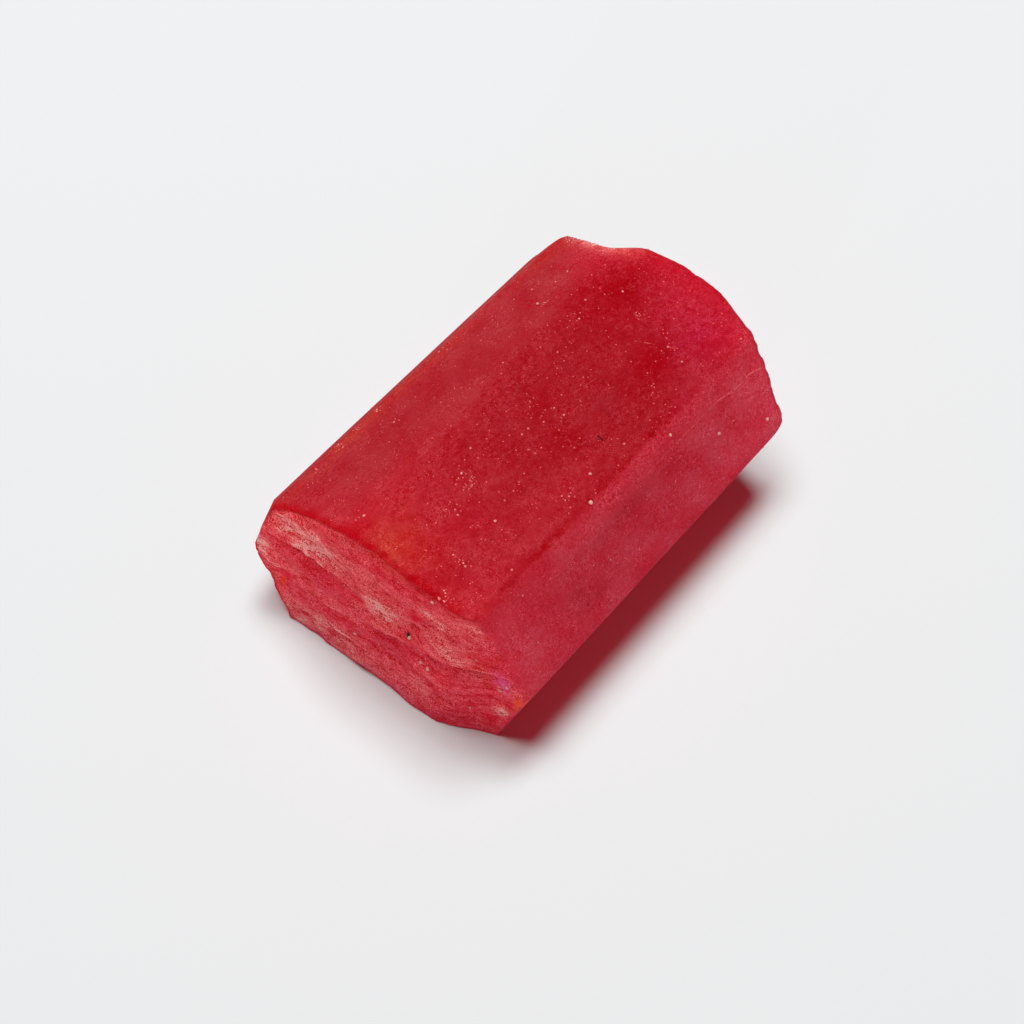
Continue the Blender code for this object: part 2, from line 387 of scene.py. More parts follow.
@dataclass
class NodeBench:
    """Adds and links shader nodes in one tree."""

    tree: bpy.types.NodeTree

    def feed(self, node: bpy.types.Node, feeds: dict) -> None:
        """Sets a node's inputs to values, or links them to the sockets that feed them.

        Args:
            node: The node.
            feeds: Values or sockets, by the name or number of the input.
        """
        for socket, value in feeds.items():
            if isinstance(value, Socket):
                self.tree.links.new(value, node.inputs[socket])
            else:
                node.inputs[socket].default_value = value

    def add(self, kind: str, feeds: dict | None = None, **settings: object) -> bpy.types.Node:
        """Adds a node.

        Args:
            kind: Node type name.
            feeds: Values or sockets for its inputs.
            settings: Properties of the node.

        Returns:
            The new node.
        """
        node = self.tree.nodes.new(kind)
        for name, value in settings.items():
            setattr(node, name, value)
        self.feed(node, feeds or {})
        return node

    def math(self, operation: str, first: object, second: object = 0.0, clamp: bool = False) -> Socket:
        """The result of a Math node on two values or sockets, kept from 0 to 1 if clamp is set."""
        feeds = {0: first, 1: second}
        return self.add("ShaderNodeMath", feeds, operation=operation, use_clamp=clamp).outputs[0]

    def plus(self, first: object, second: object, clamp: bool = False) -> Socket:
        """The sum of two values or sockets."""
        return self.math("ADD", first, second, clamp)

    def minus(self, first: object, second: object) -> Socket:
        """The difference of two values or sockets."""
        return self.math("SUBTRACT", first, second)

    def times(self, first: object, second: object, clamp: bool = False) -> Socket:
        """The product of two values or sockets."""
        return self.math("MULTIPLY", first, second, clamp)

    def higher(self, first: object, second: object) -> Socket:
        """The larger of two values or sockets."""
        return self.math("MAXIMUM", first, second)

    def swing(self, value: Socket, gain: object) -> Socket:
        """How far a value is from 0.5, times gain."""
        return self.times(self.minus(value, 0.5), gain)

    def vector(self, operation: str, first: object, second: object) -> Socket:
        """The result of a Vector Math node on two vectors or sockets."""
        return self.add("ShaderNodeVectorMath", {0: first, 1: second}, operation=operation).outputs[0]

    def measure(self, operation: str, first: object, second: object) -> Socket:
        """The number that a Vector Math node gets from two vectors."""
        return self.add("ShaderNodeVectorMath", {0: first, 1: second}, operation=operation).outputs[1]

    def ramp(self, value: object, low: float, high: float) -> Socket:
        """Eases a value from 0 at low to 1 at high."""
        feeds = {"Value": value, "From Min": low, "From Max": high}
        return self.add("ShaderNodeMapRange", feeds, interpolation_type="SMOOTHSTEP").outputs["Result"]

    def between(self, share: object, low: float, high: float) -> Socket:
        """A number that goes from low to high as share goes from 0 to 1."""
        feeds = {"Value": share, "To Min": low, "To Max": high}
        return self.add("ShaderNodeMapRange", feeds).outputs["Result"]

    def noise(self, place: Socket, scale: float, detail: object, **others: float) -> Socket:
        """Fractal noise round 0.5, with the noise node's other inputs by their names."""
        feeds = {"Vector": place, "Scale": scale, "Detail": detail, **others}
        return self.add("ShaderNodeTexNoise", feeds).outputs["Fac"]

    def mix(self, share: object, under: object, over: object) -> Socket:
        """Mixes two colours: under where share is 0, over where it is 1."""
        feeds = {"Factor": share, 6: under, 7: over}
        return self.add("ShaderNodeMix", feeds, data_type="RGBA").outputs[2]

    def group(self, tree: bpy.types.NodeTree, feeds: dict) -> Socket:
        """Adds a node group and gives back its first output."""
        return self.add("ShaderNodeGroup", feeds, node_tree=tree).outputs[0]


@dataclass
class PatternGroup(NodeBench):
    """A shader node group being built: its bench, its input sockets by name, and its end node."""

    inputs: dict[str, Socket]
    end: bpy.types.Node

    @classmethod
    def start(cls, name: str, output: str, **others: float | None) -> "PatternGroup":
        """Starts a group with the vector input Place, other inputs and one number output.

        Args:
            name: Name of the group.
            output: Name of the number that it puts out.
            others: Number inputs with their defaults; None makes a vector input.

        Returns:
            The group, with nothing between its two ends yet.
        """
        tree = bpy.data.node_groups.new(name, "ShaderNodeTree")
        for label, value in {"Place": None, **others}.items():
            kind = "NodeSocketVector" if value is None else "NodeSocketFloat"
            socket = tree.interface.new_socket(label, in_out="INPUT", socket_type=kind)
            if value is not None:
                socket.default_value = value
        tree.interface.new_socket(output, in_out="OUTPUT", socket_type="NodeSocketFloat")
        entry = tree.nodes.new("NodeGroupInput")
        inputs = {label: entry.outputs[label] for label in ("Place", *others)}
        return cls(tree, inputs, tree.nodes.new("NodeGroupOutput"))

    def close(self, result: Socket) -> bpy.types.NodeTree:
        """Links the result to the group's output, and gives back the finished tree."""
        self.tree.links.new(result, self.end.inputs[0])
        return self.tree

    def scaled_place(self) -> Socket:
        """Place in units of the input Spacing."""
        return self.vector("DIVIDE", self.inputs["Place"], self.inputs["Spacing"])


def make_specks() -> bpy.types.NodeTree:
    """Small round specks: a cell shows one where its random number is under Share.

    Returns:
        The group, with a mask of the specks, some fainter than others.
    """
    group = PatternGroup.start("specks", "Mask", Spacing=1.0, Size=0.1, Share=0.2)
    cells = group.add("ShaderNodeTexVoronoi", {"Vector": group.scaled_place(), "Scale": 1.0})
    chance = group.add("ShaderNodeSeparateColor", {"Color": cells.outputs["Color"]}).outputs
    chosen = group.math("LESS_THAN", chance["Red"], group.inputs["Share"])
    radius = group.times(group.inputs["Size"], group.plus(chance["Green"], 0.35))
    away = group.times(cells.outputs["Distance"], group.inputs["Spacing"])
    inside = group.ramp(group.math("DIVIDE", away, radius), 1.0, 0.45)
    bright = group.plus(group.times(chance["Blue"], 0.75), 0.25)
    return group.close(group.times(inside, group.times(chosen, bright)))


def make_wisps() -> bpy.types.NodeTree:
    """Thin wandering lines, where a bent noise crosses its middle value, broken into short bits.

    Returns:
        The group, with a mask of the lines.
    """
    group = PatternGroup.start("wisps", "Mask", Spacing=1.0, Width=0.05, Cover=0.5)
    scaled = group.scaled_place()
    bent = group.noise(scaled, 1.0, 3.0, Distortion=1.2)
    off_middle = group.math("ABSOLUTE", group.minus(bent, 0.5))
    line = group.ramp(group.math("DIVIDE", off_middle, group.inputs["Width"]), 1.0, 0.0)
    bits = group.noise(group.vector("ADD", scaled, (17.0, 5.0, 9.0)), 2.2, 1.0)
    kept = group.plus(bits, group.minus(group.inputs["Cover"], 1.0))
    return group.close(group.times(line, group.ramp(kept, 0.0, 0.12)))


def make_cloud() -> bpy.types.NodeTree:
    """Cloudy mottling between 0 and 1, with Contrast round its middle.

    Returns:
        The group, with the cloud's value.
    """
    group = PatternGroup.start("cloud", "Value", Spacing=1.0, Detail=3.0, Contrast=2.0)
    noise = group.noise(group.scaled_place(), 1.0, group.inputs["Detail"])
    return group.close(group.plus(group.swing(noise, group.inputs["Contrast"]), 0.5, clamp=True))


def make_stroke() -> bpy.types.NodeTree:
    """A straight stroke between two points, by how far a place is from the stretch.

    Returns:
        The group, with a mask of the stroke.
    """
    group = PatternGroup.start("stroke", "Mask", From=None, To=None, Width=0.1)
    ends = group.inputs
    along = group.vector("SUBTRACT", ends["To"], ends["From"])
    offset = group.vector("SUBTRACT", ends["Place"], ends["From"])
    reach = group.measure("DOT_PRODUCT", offset, along)
    share = group.math("DIVIDE", reach, group.measure("DOT_PRODUCT", along, along), clamp=True)
    foot = group.add("ShaderNodeVectorMath", {0: along, "Scale": share}, operation="SCALE").outputs[0]
    gap = group.measure("DISTANCE", offset, foot)
    return group.close(group.ramp(group.math("DIVIDE", gap, ends["Width"]), 1.0, 0.2))


def make_ring() -> bpy.types.NodeTree:
    """A ring, or a round patch where Radius is small: near 1 at Radius from Centre.

    Returns:
        The group, with a mask of the ring.
    """
    group = PatternGroup.start("ring", "Mask", Centre=None, Radius=1.0, Thickness=0.2)
    away = group.measure("DISTANCE", group.inputs["Place"], group.inputs["Centre"])
    gap = group.math("ABSOLUTE", group.minus(away, group.inputs["Radius"]))
    return group.close(group.ramp(group.math("DIVIDE", gap, group.inputs["Thickness"]), 1.0, 0.4))


@dataclass(frozen=True)
class Patterns:
    """The node groups that the finishes share."""

    specks: bpy.types.NodeTree
    wisps: bpy.types.NodeTree
    cloud: bpy.types.NodeTree
    stroke: bpy.types.NodeTree
    ring: bpy.types.NodeTree

    @classmethod
    def make(cls) -> "Patterns":
        """Builds the groups."""
        return cls(make_specks(), make_wisps(), make_cloud(), make_stroke(), make_ring())


@dataclass(frozen=True)
class Specks:
    """Small round specks: the spacing of their cells, their size, and the share of filled cells."""

    spacing: float
    size: float
    share: float


@dataclass
class Surface(NodeBench):
    """The nodes of one material: a bench with the shared patterns, the shader and coordinates."""

    patterns: Patterns
    material: bpy.types.Material
    shader: bpy.types.Node
    place: Socket

    @classmethod
    def start(cls, name: str, patterns: Patterns) -> "Surface":
        """Starts a node material.

        Args:
            name: Name of the material.
            patterns: The shared node groups.

        Returns:
            Its surface, where place is Object coordinates in millimetres.
        """
        material = bpy.data.materials.new(name)
        material.use_nodes = True
        tree = material.node_tree
        bench = NodeBench(tree)
        metres = bench.add("ShaderNodeTexCoord").outputs["Object"]
        place = bench.vector("MULTIPLY", metres, (1 / MM, 1 / MM, 1 / MM))
        return cls(tree, patterns, material, tree.nodes["Principled BSDF"], place)

    def attribute(self, name: str) -> Socket:
        """The colour that the mesh keeps under a name."""
        return self.add("ShaderNodeAttribute", attribute_name=name).outputs["Color"]

    def cloud(self, place: Socket, spacing: float, detail: float, contrast: float) -> Socket:
        """Cloudy mottling between 0 and 1."""
        feeds = {"Place": place, "Spacing": spacing, "Detail": detail, "Contrast": contrast}
        return self.group(self.patterns.cloud, feeds)

    def specks(self, place: Socket, kind: Specks, share: object) -> Socket:
        """A mask of specks of one kind, with a share of their own."""
        feeds = {"Place": place, "Spacing": kind.spacing, "Size": kind.size, "Share": share}
        return self.group(self.patterns.specks, feeds)

    def bump(self, height: Socket, strength: float, depth: float) -> Socket:
        """A normal bumped by a height, where depth is the full height in millimetres."""
        feeds = {"Height": height, "Strength": strength, "Distance": depth * MM}
        return self.add("ShaderNodeBump", feeds).outputs["Normal"]


@dataclass(frozen=True)
class Mottle:
    """A layer of clouds that multiplies the colour, by deep where it is 0 and by bright at 1."""

    spacing: float
    detail: float
    contrast: float
    deep: Triple
    bright: Triple


@dataclass(frozen=True)
class RubyFinish:
    """Waxy, cloudy red stone that lets a little red light through."""

    roughness: float = 0.44
    break_roughness: float = 0.50
    haze: float = 0.3
    refraction: float = 1.77
    shine: float = 0.0005
    glow_share: float = 0.6
    glow_depth: float = 12.0
    glow_reach: Triple = (1.0, 0.010, 0.015)
    shade_tint: Colour = (0.435, 0.060, 0.095, 1.0)
    break_shade_tint: Colour = (0.25, 0.070, 0.086, 1.0)
    bounce_share: float = 0.5
    fibre_tilt: float = 3.5
    fibre_stretch: Triple = (0.8, 0.8, 3.2)
    fibre_gain: float = 3.7
    crumb_gain: float = 0.9
    crumb_stretch: Triple = (1.0, 0.62, 1.35)
    reddened: Triple = (0.90, 0.22, 0.36)
    darkened: Triple = (0.78, 0.12, 0.22)
    fine: Specks = Specks(0.28, 0.080, 0.40)
    large: Specks = Specks(0.85, 0.13, 0.30)
    crowded: Specks = Specks(0.24, 0.100, 0.65)
    pits: Specks = Specks(0.7, 0.13, 0.14)
    # how far the painted shadow beside each speck is shifted
    speck_shadow_shift: Triple = (0.09, -0.07, 0.05)
    bump_depth: float = 0.05
    bump_strength: float = 0.6
    clouds: Mottle = Mottle(3.4, 3.0, 2.8, (0.95, 0.62, 0.72), (1.03, 1.40, 1.26))
    puffs: Mottle = Mottle(0.9, 3.0, 2.8, (0.92, 0.58, 0.68), (1.06, 1.46, 1.32))
    grain: Mottle = Mottle(0.36, 2.0, 3.2, (0.91, 0.44, 0.54), (1.10, 1.66, 1.52))
    grit: Mottle = Mottle(0.13, 1.0, 3.8, (0.84, 0.22, 0.32), (1.20, 2.05, 1.85))

    def make(self, patterns: Patterns) -> bpy.types.Material:
        """Builds the material.

        Args:
            patterns: The shared node groups.

        Returns:
            The ruby's material, which reads the attributes tint and marks of its mesh.
        """
        on = Surface.start("ruby_stone", patterns)
        masks = on.add("ShaderNodeSeparateColor", {"Color": on.attribute("marks")}).outputs
        broken, veil, wispy = masks["Red"], masks["Green"], masks["Blue"]
        fibres = self.fibres(on)
        mottled = self.mottle(on, on.attribute("tint"), on.plus(wispy, broken, clamp=True))
        frosted = self.frost(on, fibres, mottled, broken, veil)
        specks, marked = self.mark(on, frosted, wispy)
        even = on.between(broken, self.roughness, self.break_roughness)
        hazy = on.swing(on.cloud(on.place, 0.7, 3.0, 0.3), self.haze)
        feeds = {
            "Base Color": self.scratch(on, marked),
            "Roughness": on.plus(even, hazy),
            "Normal": self.relief(on, fibres, broken, specks),
            "IOR": self.refraction,
            "Specular IOR Level": self.shine,
            "Subsurface Weight": self.glow_share,
            "Subsurface Radius": self.glow_reach,
            "Subsurface Scale": self.glow_depth * MM,
        }
        on.feed(on.shader, feeds)
        self.let_red_light_through(on, broken)
        return on.material

    def fibres(self, on: Surface) -> Socket:
        """Noise drawn out into fine fibres across the breaks, almost level.

        Args:
            on: The material's surface.

        Returns:
            The noise, mostly between 0.3 and 0.7.
        """
        feeds = {"Vector": on.place, "Angle": math.radians(self.fibre_tilt)}
        turned = on.add("ShaderNodeVectorRotate", feeds, rotation_type="X_AXIS").outputs["Vector"]
        stretched = on.vector("MULTIPLY", turned, self.fibre_stretch)
        return on.noise(stretched, 1.0, 5.0, Roughness=0.66, Distortion=0.7)

    def mottle(self, on: Surface, tint: Socket, lively: Socket) -> Socket:
        """Breaks the tint up into clouds and fine grain of deeper and brighter red.

        Args:
            on: The material's surface.
            tint: The stone's own colour.
            lively: How strong the finer layers are.

        Returns:
            The mottled colour.
        """
        patches = on.between(on.cloud(on.place, 1.9, 2.0, 3.4), 0.35, 1.0)
        grainy = on.times(on.between(lively, 0.60, 1.0), patches)
        mottled = tint
        amounts = ((self.clouds, 1.0), (self.puffs, lively), (self.grain, grainy), (self.grit, grainy))
        for layer, amount in amounts:
            share = on.cloud(on.place, layer.spacing, layer.detail, layer.contrast)
            deeper = on.vector("MULTIPLY", mottled, layer.deep)
            brighter = on.vector("MULTIPLY", mottled, layer.bright)
            mottled = on.mix(amount, mottled, on.mix(share, deeper, brighter))
        return mottled

    def frost(self, on: Surface, fibres: Socket, under: Socket, broken: Socket, veil: Socket) -> Socket:
        """Lays pale and dark crumbs over the breaks, pale ones thick where the veil mask is high.

        Args:
            on: The material's surface.
            fibres: The fibre noise.
            under: Colour under the frost.
            broken: Mask of the breaks.
            veil: How frosted each place is.

        Returns:
            The frosted colour.
        """
        drawn = on.swing(fibres, self.fibre_gain)
        crumbly = on.swing(on.cloud(on.place, 0.13, 2.0, 3.8), self.crumb_gain)
        grit = on.plus(on.plus(drawn, crumbly), 0.5, clamp=True)
        flat = on.vector("MULTIPLY", on.place, self.crumb_stretch)
        patches = on.cloud(flat, 1.2, 4.0, 5.0)
        hollows = on.cloud(on.vector("ADD", flat, (5.3, 8.1, 2.7)), 1.1, 4.0, 5.0)

        red = on.times(on.ramp(hollows, 0.62, 0.95), on.times(broken, 0.75))
        reddened = on.mix(red, under, on.vector("MULTIPLY", under, self.reddened))
        clustered = on.times(broken, on.between(hollows, 0.20, 1.25))
        dark = on.times(on.ramp(grit, 0.40, 0.08), clustered, clamp=True)
        streaked = on.mix(dark, reddened, on.vector("MULTIPLY", under, self.darkened))

        covered = on.times(veil, on.between(patches, 0.60, 1.40))
        thick = on.times(on.plus(covered, 0.03), broken)
        pale = on.times(thick, on.between(grit, 0.10, 2.20), clamp=True)
        frosted = on.mix(pale, streaked, Tone.FROST.colour)
        return on.mix(on.times(on.ramp(pale, 0.60, 1.0), 0.7), frosted, Tone.WHITE.colour)

    def mark(self, on: Surface, under: Socket, wispy: Socket) -> tuple[Socket, Socket]:
        """Adds wisps, pale specks that are partly grit and partly painted glints, a painted shadow
        beside each speck, sparkling clusters of painted glints, and a few dark pits.

        Args:
            on: The material's surface.
            under: Colour under the marks.
            wispy: How strong the wisps are.

        Returns:
            The mask of the specks, and the marked colour.
        """
        feeds = {"Place": on.place, "Spacing": 1.1, "Width": 0.022, "Cover": 0.50}
        wisps = on.times(on.group(on.patterns.wisps, feeds), on.times(wispy, 0.5))
        marked = on.mix(wisps, under, Tone.WISP.colour)

        clusters = 0.0
        for sparkle in SPARKLES:
            feeds = {"Centre": sparkle.centre, "Radius": sparkle.radius, "Thickness": sparkle.thickness}
            ring = on.group(on.patterns.ring, {"Place": on.place, **feeds})
            clusters = on.higher(clusters, ring)
        crowds = on.between(on.ramp(on.cloud(on.place, 2.1, 2.0, 4.0), 0.45, 1.0), 0.12, 1.0)
        fine_share = on.times(crowds, self.fine.share)
        large_share = on.times(crowds, self.large.share)

        def strewn(place: Socket) -> tuple[Socket, Socket, Socket]:
            """Strews specks over the skin.

            Args:
                place: Coordinates, shifted for the painted shadows beside the specks.

            Returns:
                Masks of the fine specks, of the large ones and of those in the clusters.
            """
            fine = on.specks(place, self.fine, fine_share)
            large = on.specks(place, self.large, large_share)
            return fine, large, on.times(on.specks(place, self.crowded, self.crowded.share), clusters)

        fine, large, clustered = strewn(on.place)
        large = on.higher(large, clustered)
        # painted shadows: a dark copy of every speck, shifted the same way everywhere
        fine_shadow, large_shadow, clustered_shadow = strewn(on.vector("ADD", on.place, self.speck_shadow_shift))
        sides = on.higher(on.higher(fine_shadow, large_shadow), clustered_shadow)
        marked = on.mix(on.times(sides, 0.8), marked, Tone.SHADE.colour)
        marked = on.mix(on.times(fine, 0.9), marked, Tone.SPECK.colour)
        marked = on.mix(large, marked, Tone.GLINT.colour)
        pits = on.specks(on.vector("ADD", on.place, (3.7, 1.9, 8.3)), self.pits, self.pits.share)
        return on.higher(fine, large), on.mix(on.times(pits, 0.6), marked, Tone.DUSK.colour)

    def scratch(self, on: Surface, under: Socket) -> Socket:
        """Draws the scratches and the dark crack, all uneven along their length.

        Args:
            on: The material's surface.
            under: Colour under them.

        Returns:
            The colour with all strokes.
        """
        drawn = under
        uneven = on.ramp(on.noise(on.place, 2.3, 2.0), 0.36, 0.56)
        for stroke in SCRATCHES:
            feeds = {"Place": on.place, "From": stroke.start, "To": stroke.end, "Width": stroke.width}
            line = on.times(on.group(on.patterns.stroke, feeds), uneven)
            drawn = on.mix(on.times(line, stroke.strength), drawn, stroke.tone.colour)
        return drawn

    def relief(self, on: Surface, fibres: Socket, broken: Socket, specks: Socket) -> Socket:
        """Fine roughness of the surface, fibres on the breaks, and specks that stand proud.

        Args:
            on: The material's surface.
            fibres: The fibre noise.
            broken: Mask of the breaks.
            specks: Mask of the specks.

        Returns:
            The bumped normal.
        """
        fine = on.cloud(on.place, 0.22, 2.0, 1.0)
        soft = on.cloud(on.place, 1.1, 2.0, 1.0)
        height = on.plus(on.plus(on.times(fine, 0.5), soft), on.times(specks, 0.6))
        drawn = on.times(on.times(fibres, broken), 4.0)
        return on.bump(on.plus(height, drawn), self.bump_strength, self.bump_depth)

    def let_red_light_through(self, on: Surface, broken: Socket) -> None:
        """Tints the stone's cast shadow deep red, as light that has passed through it would.

        Part of the light that the stone throws back on the paper is let through as well, so that
        the paper round it stays white.

        Args:
            on: The material's surface.
            broken: Mask of the breaks, which let less light out.
        """
        tint = on.mix(broken, self.shade_tint, self.break_shade_tint)
        clear = on.add("ShaderNodeBsdfTransparent", {"Color": tint})
        rays = on.add("ShaderNodeLightPath").outputs
        share = on.higher(rays["Is Shadow Ray"], on.times(rays["Is Diffuse Ray"], self.bounce_share))
        feeds = {0: share, 1: on.shader.outputs["BSDF"], 2: clear.outputs["BSDF"]}
        mixer = on.add("ShaderNodeMixShader", feeds)
        on.feed(on.tree.nodes["Material Output"], {"Surface": mixer.outputs["Shader"]})


@dataclass(frozen=True)
class GrainFinish:
    """Sand grains and splinters stuck to the stone."""

    roughness: float = 0.42
    shine: float = 0.3
    darkened: Triple = (0.80, 0.66, 0.68)

    def make(self, patterns: Patterns) -> bpy.types.Material:
        """Builds the material.

        Args:
            patterns: The shared node groups.

        Returns:
            The grains' material, which reads the attribute tint of its mesh.
        """
        on = Surface.start("stuck_grains", patterns)
        tint = on.attribute("tint")
        darker = on.vector("MULTIPLY", tint, self.darkened)
        base = on.mix(on.cloud(on.place, 0.25, 2.0, 2.0), darker, tint)
        feeds = {"Base Color": base, "Roughness": self.roughness, "Specular IOR Level": self.shine}
        on.feed(on.shader, feeds)
        return on.material


@dataclass(frozen=True)
class PaperFinish:
    """Plain white paper for the floor."""

    white: Colour = (0.832, 0.839, 0.847, 1.0)
    roughness: float = 0.85
    shine: float = 0.1
    bump_depth: float = 0.05
    bump_strength: float = 0.08

    def make(self, patterns: Patterns) -> bpy.types.Material:
        """Builds the material.

        Args:
            patterns: The shared node groups.

        Returns:
            The floor's material.
        """
        on = Surface.start("plain_paper", patterns)
        tooth = on.cloud(on.place, 0.8, 3.0, 0.5)
        feeds = {
            "Base Color": self.white,
            "Roughness": self.roughness,
            "Specular IOR Level": self.shine,
            "Normal": on.bump(tooth, self.bump_strength, self.bump_depth),
        }
        on.feed(on.shader, feeds)
        return on.material


# The side faces' ROSE and PINK are lighter and pinker than the top's RED: partly painted sheen, and the
# right-hand faces' extra red is painted light for light that comes through the stone.
NATURAL_FACES = (
    NaturalFace(90, 0, 19.0, Tone.RED),
    NaturalFace(60, 4.9, 19.0, Tone.ROSE, -0.027),
    NaturalFace(30, 15.95, 9.5, Tone.ROSE),
    NaturalFace(-30, 15.95, 9.5, Tone.RED),
    NaturalFace(-90, 0, 0.0, Tone.RED),
    NaturalFace(-164, -15.95, 9.5, Tone.PINK),
    NaturalFace(150, -15.95, 9.5, Tone.PINK),
)

CHIPS = (
    Chip((-17.7, 15.9, 9.4), (-0.383, 0.863, 0.330)),
    Chip((19.4, 9.4, 17.6), (0.45, 0.40, 0.80)),
    Chip((20.4, -14.4, 6.4), (0.50, -0.45, -0.74)),
    Chip((21.0, 9.0, 0.4), (0.66, 0.42, -0.62)),
)

NEAR_DENTS = (
    Dent(9.0, 12.2, 6.0, 1.7, 0.75, 0.10),
    Dent(8.5, 9.2, 6.5, 0.9, -0.35, 0.10),
    Dent(-0.5, 9.6, 3.4, 1.2, 0.55, -0.45),
    Dent(-4.2, 11.6, 1.4, 0.9, 0.60, -0.40),
    Dent(-7.5, 15.4, 4.2, 1.6, 0.50, -0.30),
    Dent(-0.5, 16.8, 5.5, 1.1, -0.30, -0.05),
    Dent(11.0, 5.0, 1.3, 1.5, 0.55),
    Dent(2.0, 4.2, 5.0, 1.1, 0.35, -0.25),
    Dent(-8.0, 7.4, 4.4, 1.2, -0.40, -0.35),
    Dent(1.5, 1.2, 3.0, 0.9, -0.35),
    Dent(-5.5, 0.6, 4.0, 2.2, -0.45),
    Dent(13.0, 6.0, 2.4, 2.0, -0.45),
    Dent(10.2, 15.0, 3.4, 1.3, 0.65, -0.50),
)

FAR_DENTS = (
    Dent(3.0, 8.0, 7.0, 4.5, 1.10, 0.3),
    Dent(-9.0, 11.0, 3.2, 4.0, -0.70, -0.4),
    Dent(10.5, 12.5, 2.6, 2.0, 0.70, 0.5),
    Dent(-4.0, 3.0, 6.0, 1.6, -0.60, 0.1),
    Dent(-1.0, 13.6, 4.0, 1.4, 0.45, 0.2),
    Dent(6.4, 18.6, 1.7, 2.6, 1.15),
    Dent(2.6, 18.8, 1.6, 1.5, 0.35),
    Dent(12.6, 14.8, 2.2, 2.4, -0.60),
    Dent(8.0, 3.6, 3.4, 1.8, 0.80, -0.3),
)

NEAR_LEDGES = (
    Ledge(8.4, 10.6, 5.0, 0.26, -0.05, 1.4),
    Ledge(8.6, 14.5, 4.4, -0.14, -0.16, 1.0),
    Ledge(-9.2, 10.5, 3.4, 0.20, -0.16, 1.2),
    Ledge(-1.6, 8.3, 2.8, 0.22, -0.36, 0.8),
    Ledge(4.8, 6.0, 4.2, 0.16, -0.08, 0.9),
    Ledge(-6.4, 14.0, 3.2, 0.16, -0.10, 0.9),
    Ledge(1.0, 12.2, 2.6, 0.14, -0.20, 0.7),
    Ledge(-7.0, 6.2, 4.0, 0.14, -0.12, 0.9),
    Ledge(3.4, 2.8, 4.6, 0.14, 0.02, 0.9),
    Ledge(12.6, 7.0, 1.8, 0.18, 0.10, 0.8),
)
FAR_LEDGES = (
    Ledge(4.0, 11.5, 5.0, 0.34, 0.25, 1.4),
    Ledge(-6.0, 8.6, 4.4, 0.30, -0.20, 1.3),
    Ledge(2.0, 5.0, 5.0, 0.24, 0.12, 1.1),
    Ledge(-9.0, 14.2, 2.8, 0.22, -0.30, 0.9),
    Ledge(9.0, 8.0, 2.6, 0.24, 0.35, 0.9),
)

NEAR_SPLINTERS = (Layer(7.0, 1.5, 0.14, 11), Layer(3.2, 0.95, 0.08, 12), Layer(2.6, 2.4, 0.10, 13))
FAR_SPLINTERS = (Layer(7.0, 1.5, 0.26, 31), Layer(3.2, 0.95, 0.13, 32), Layer(2.6, 2.4, 0.12, 33))
NEAR_HAIRS = (Layer(2.2, 0.50, 0.045, 14, 251), Layer(1.2, 0.34, 0.030, 15, 251))
FAR_HAIRS = (Layer(2.4, 0.42, 0.060, 34, 251), Layer(1.1, 0.34, 0.035, 35, 251))

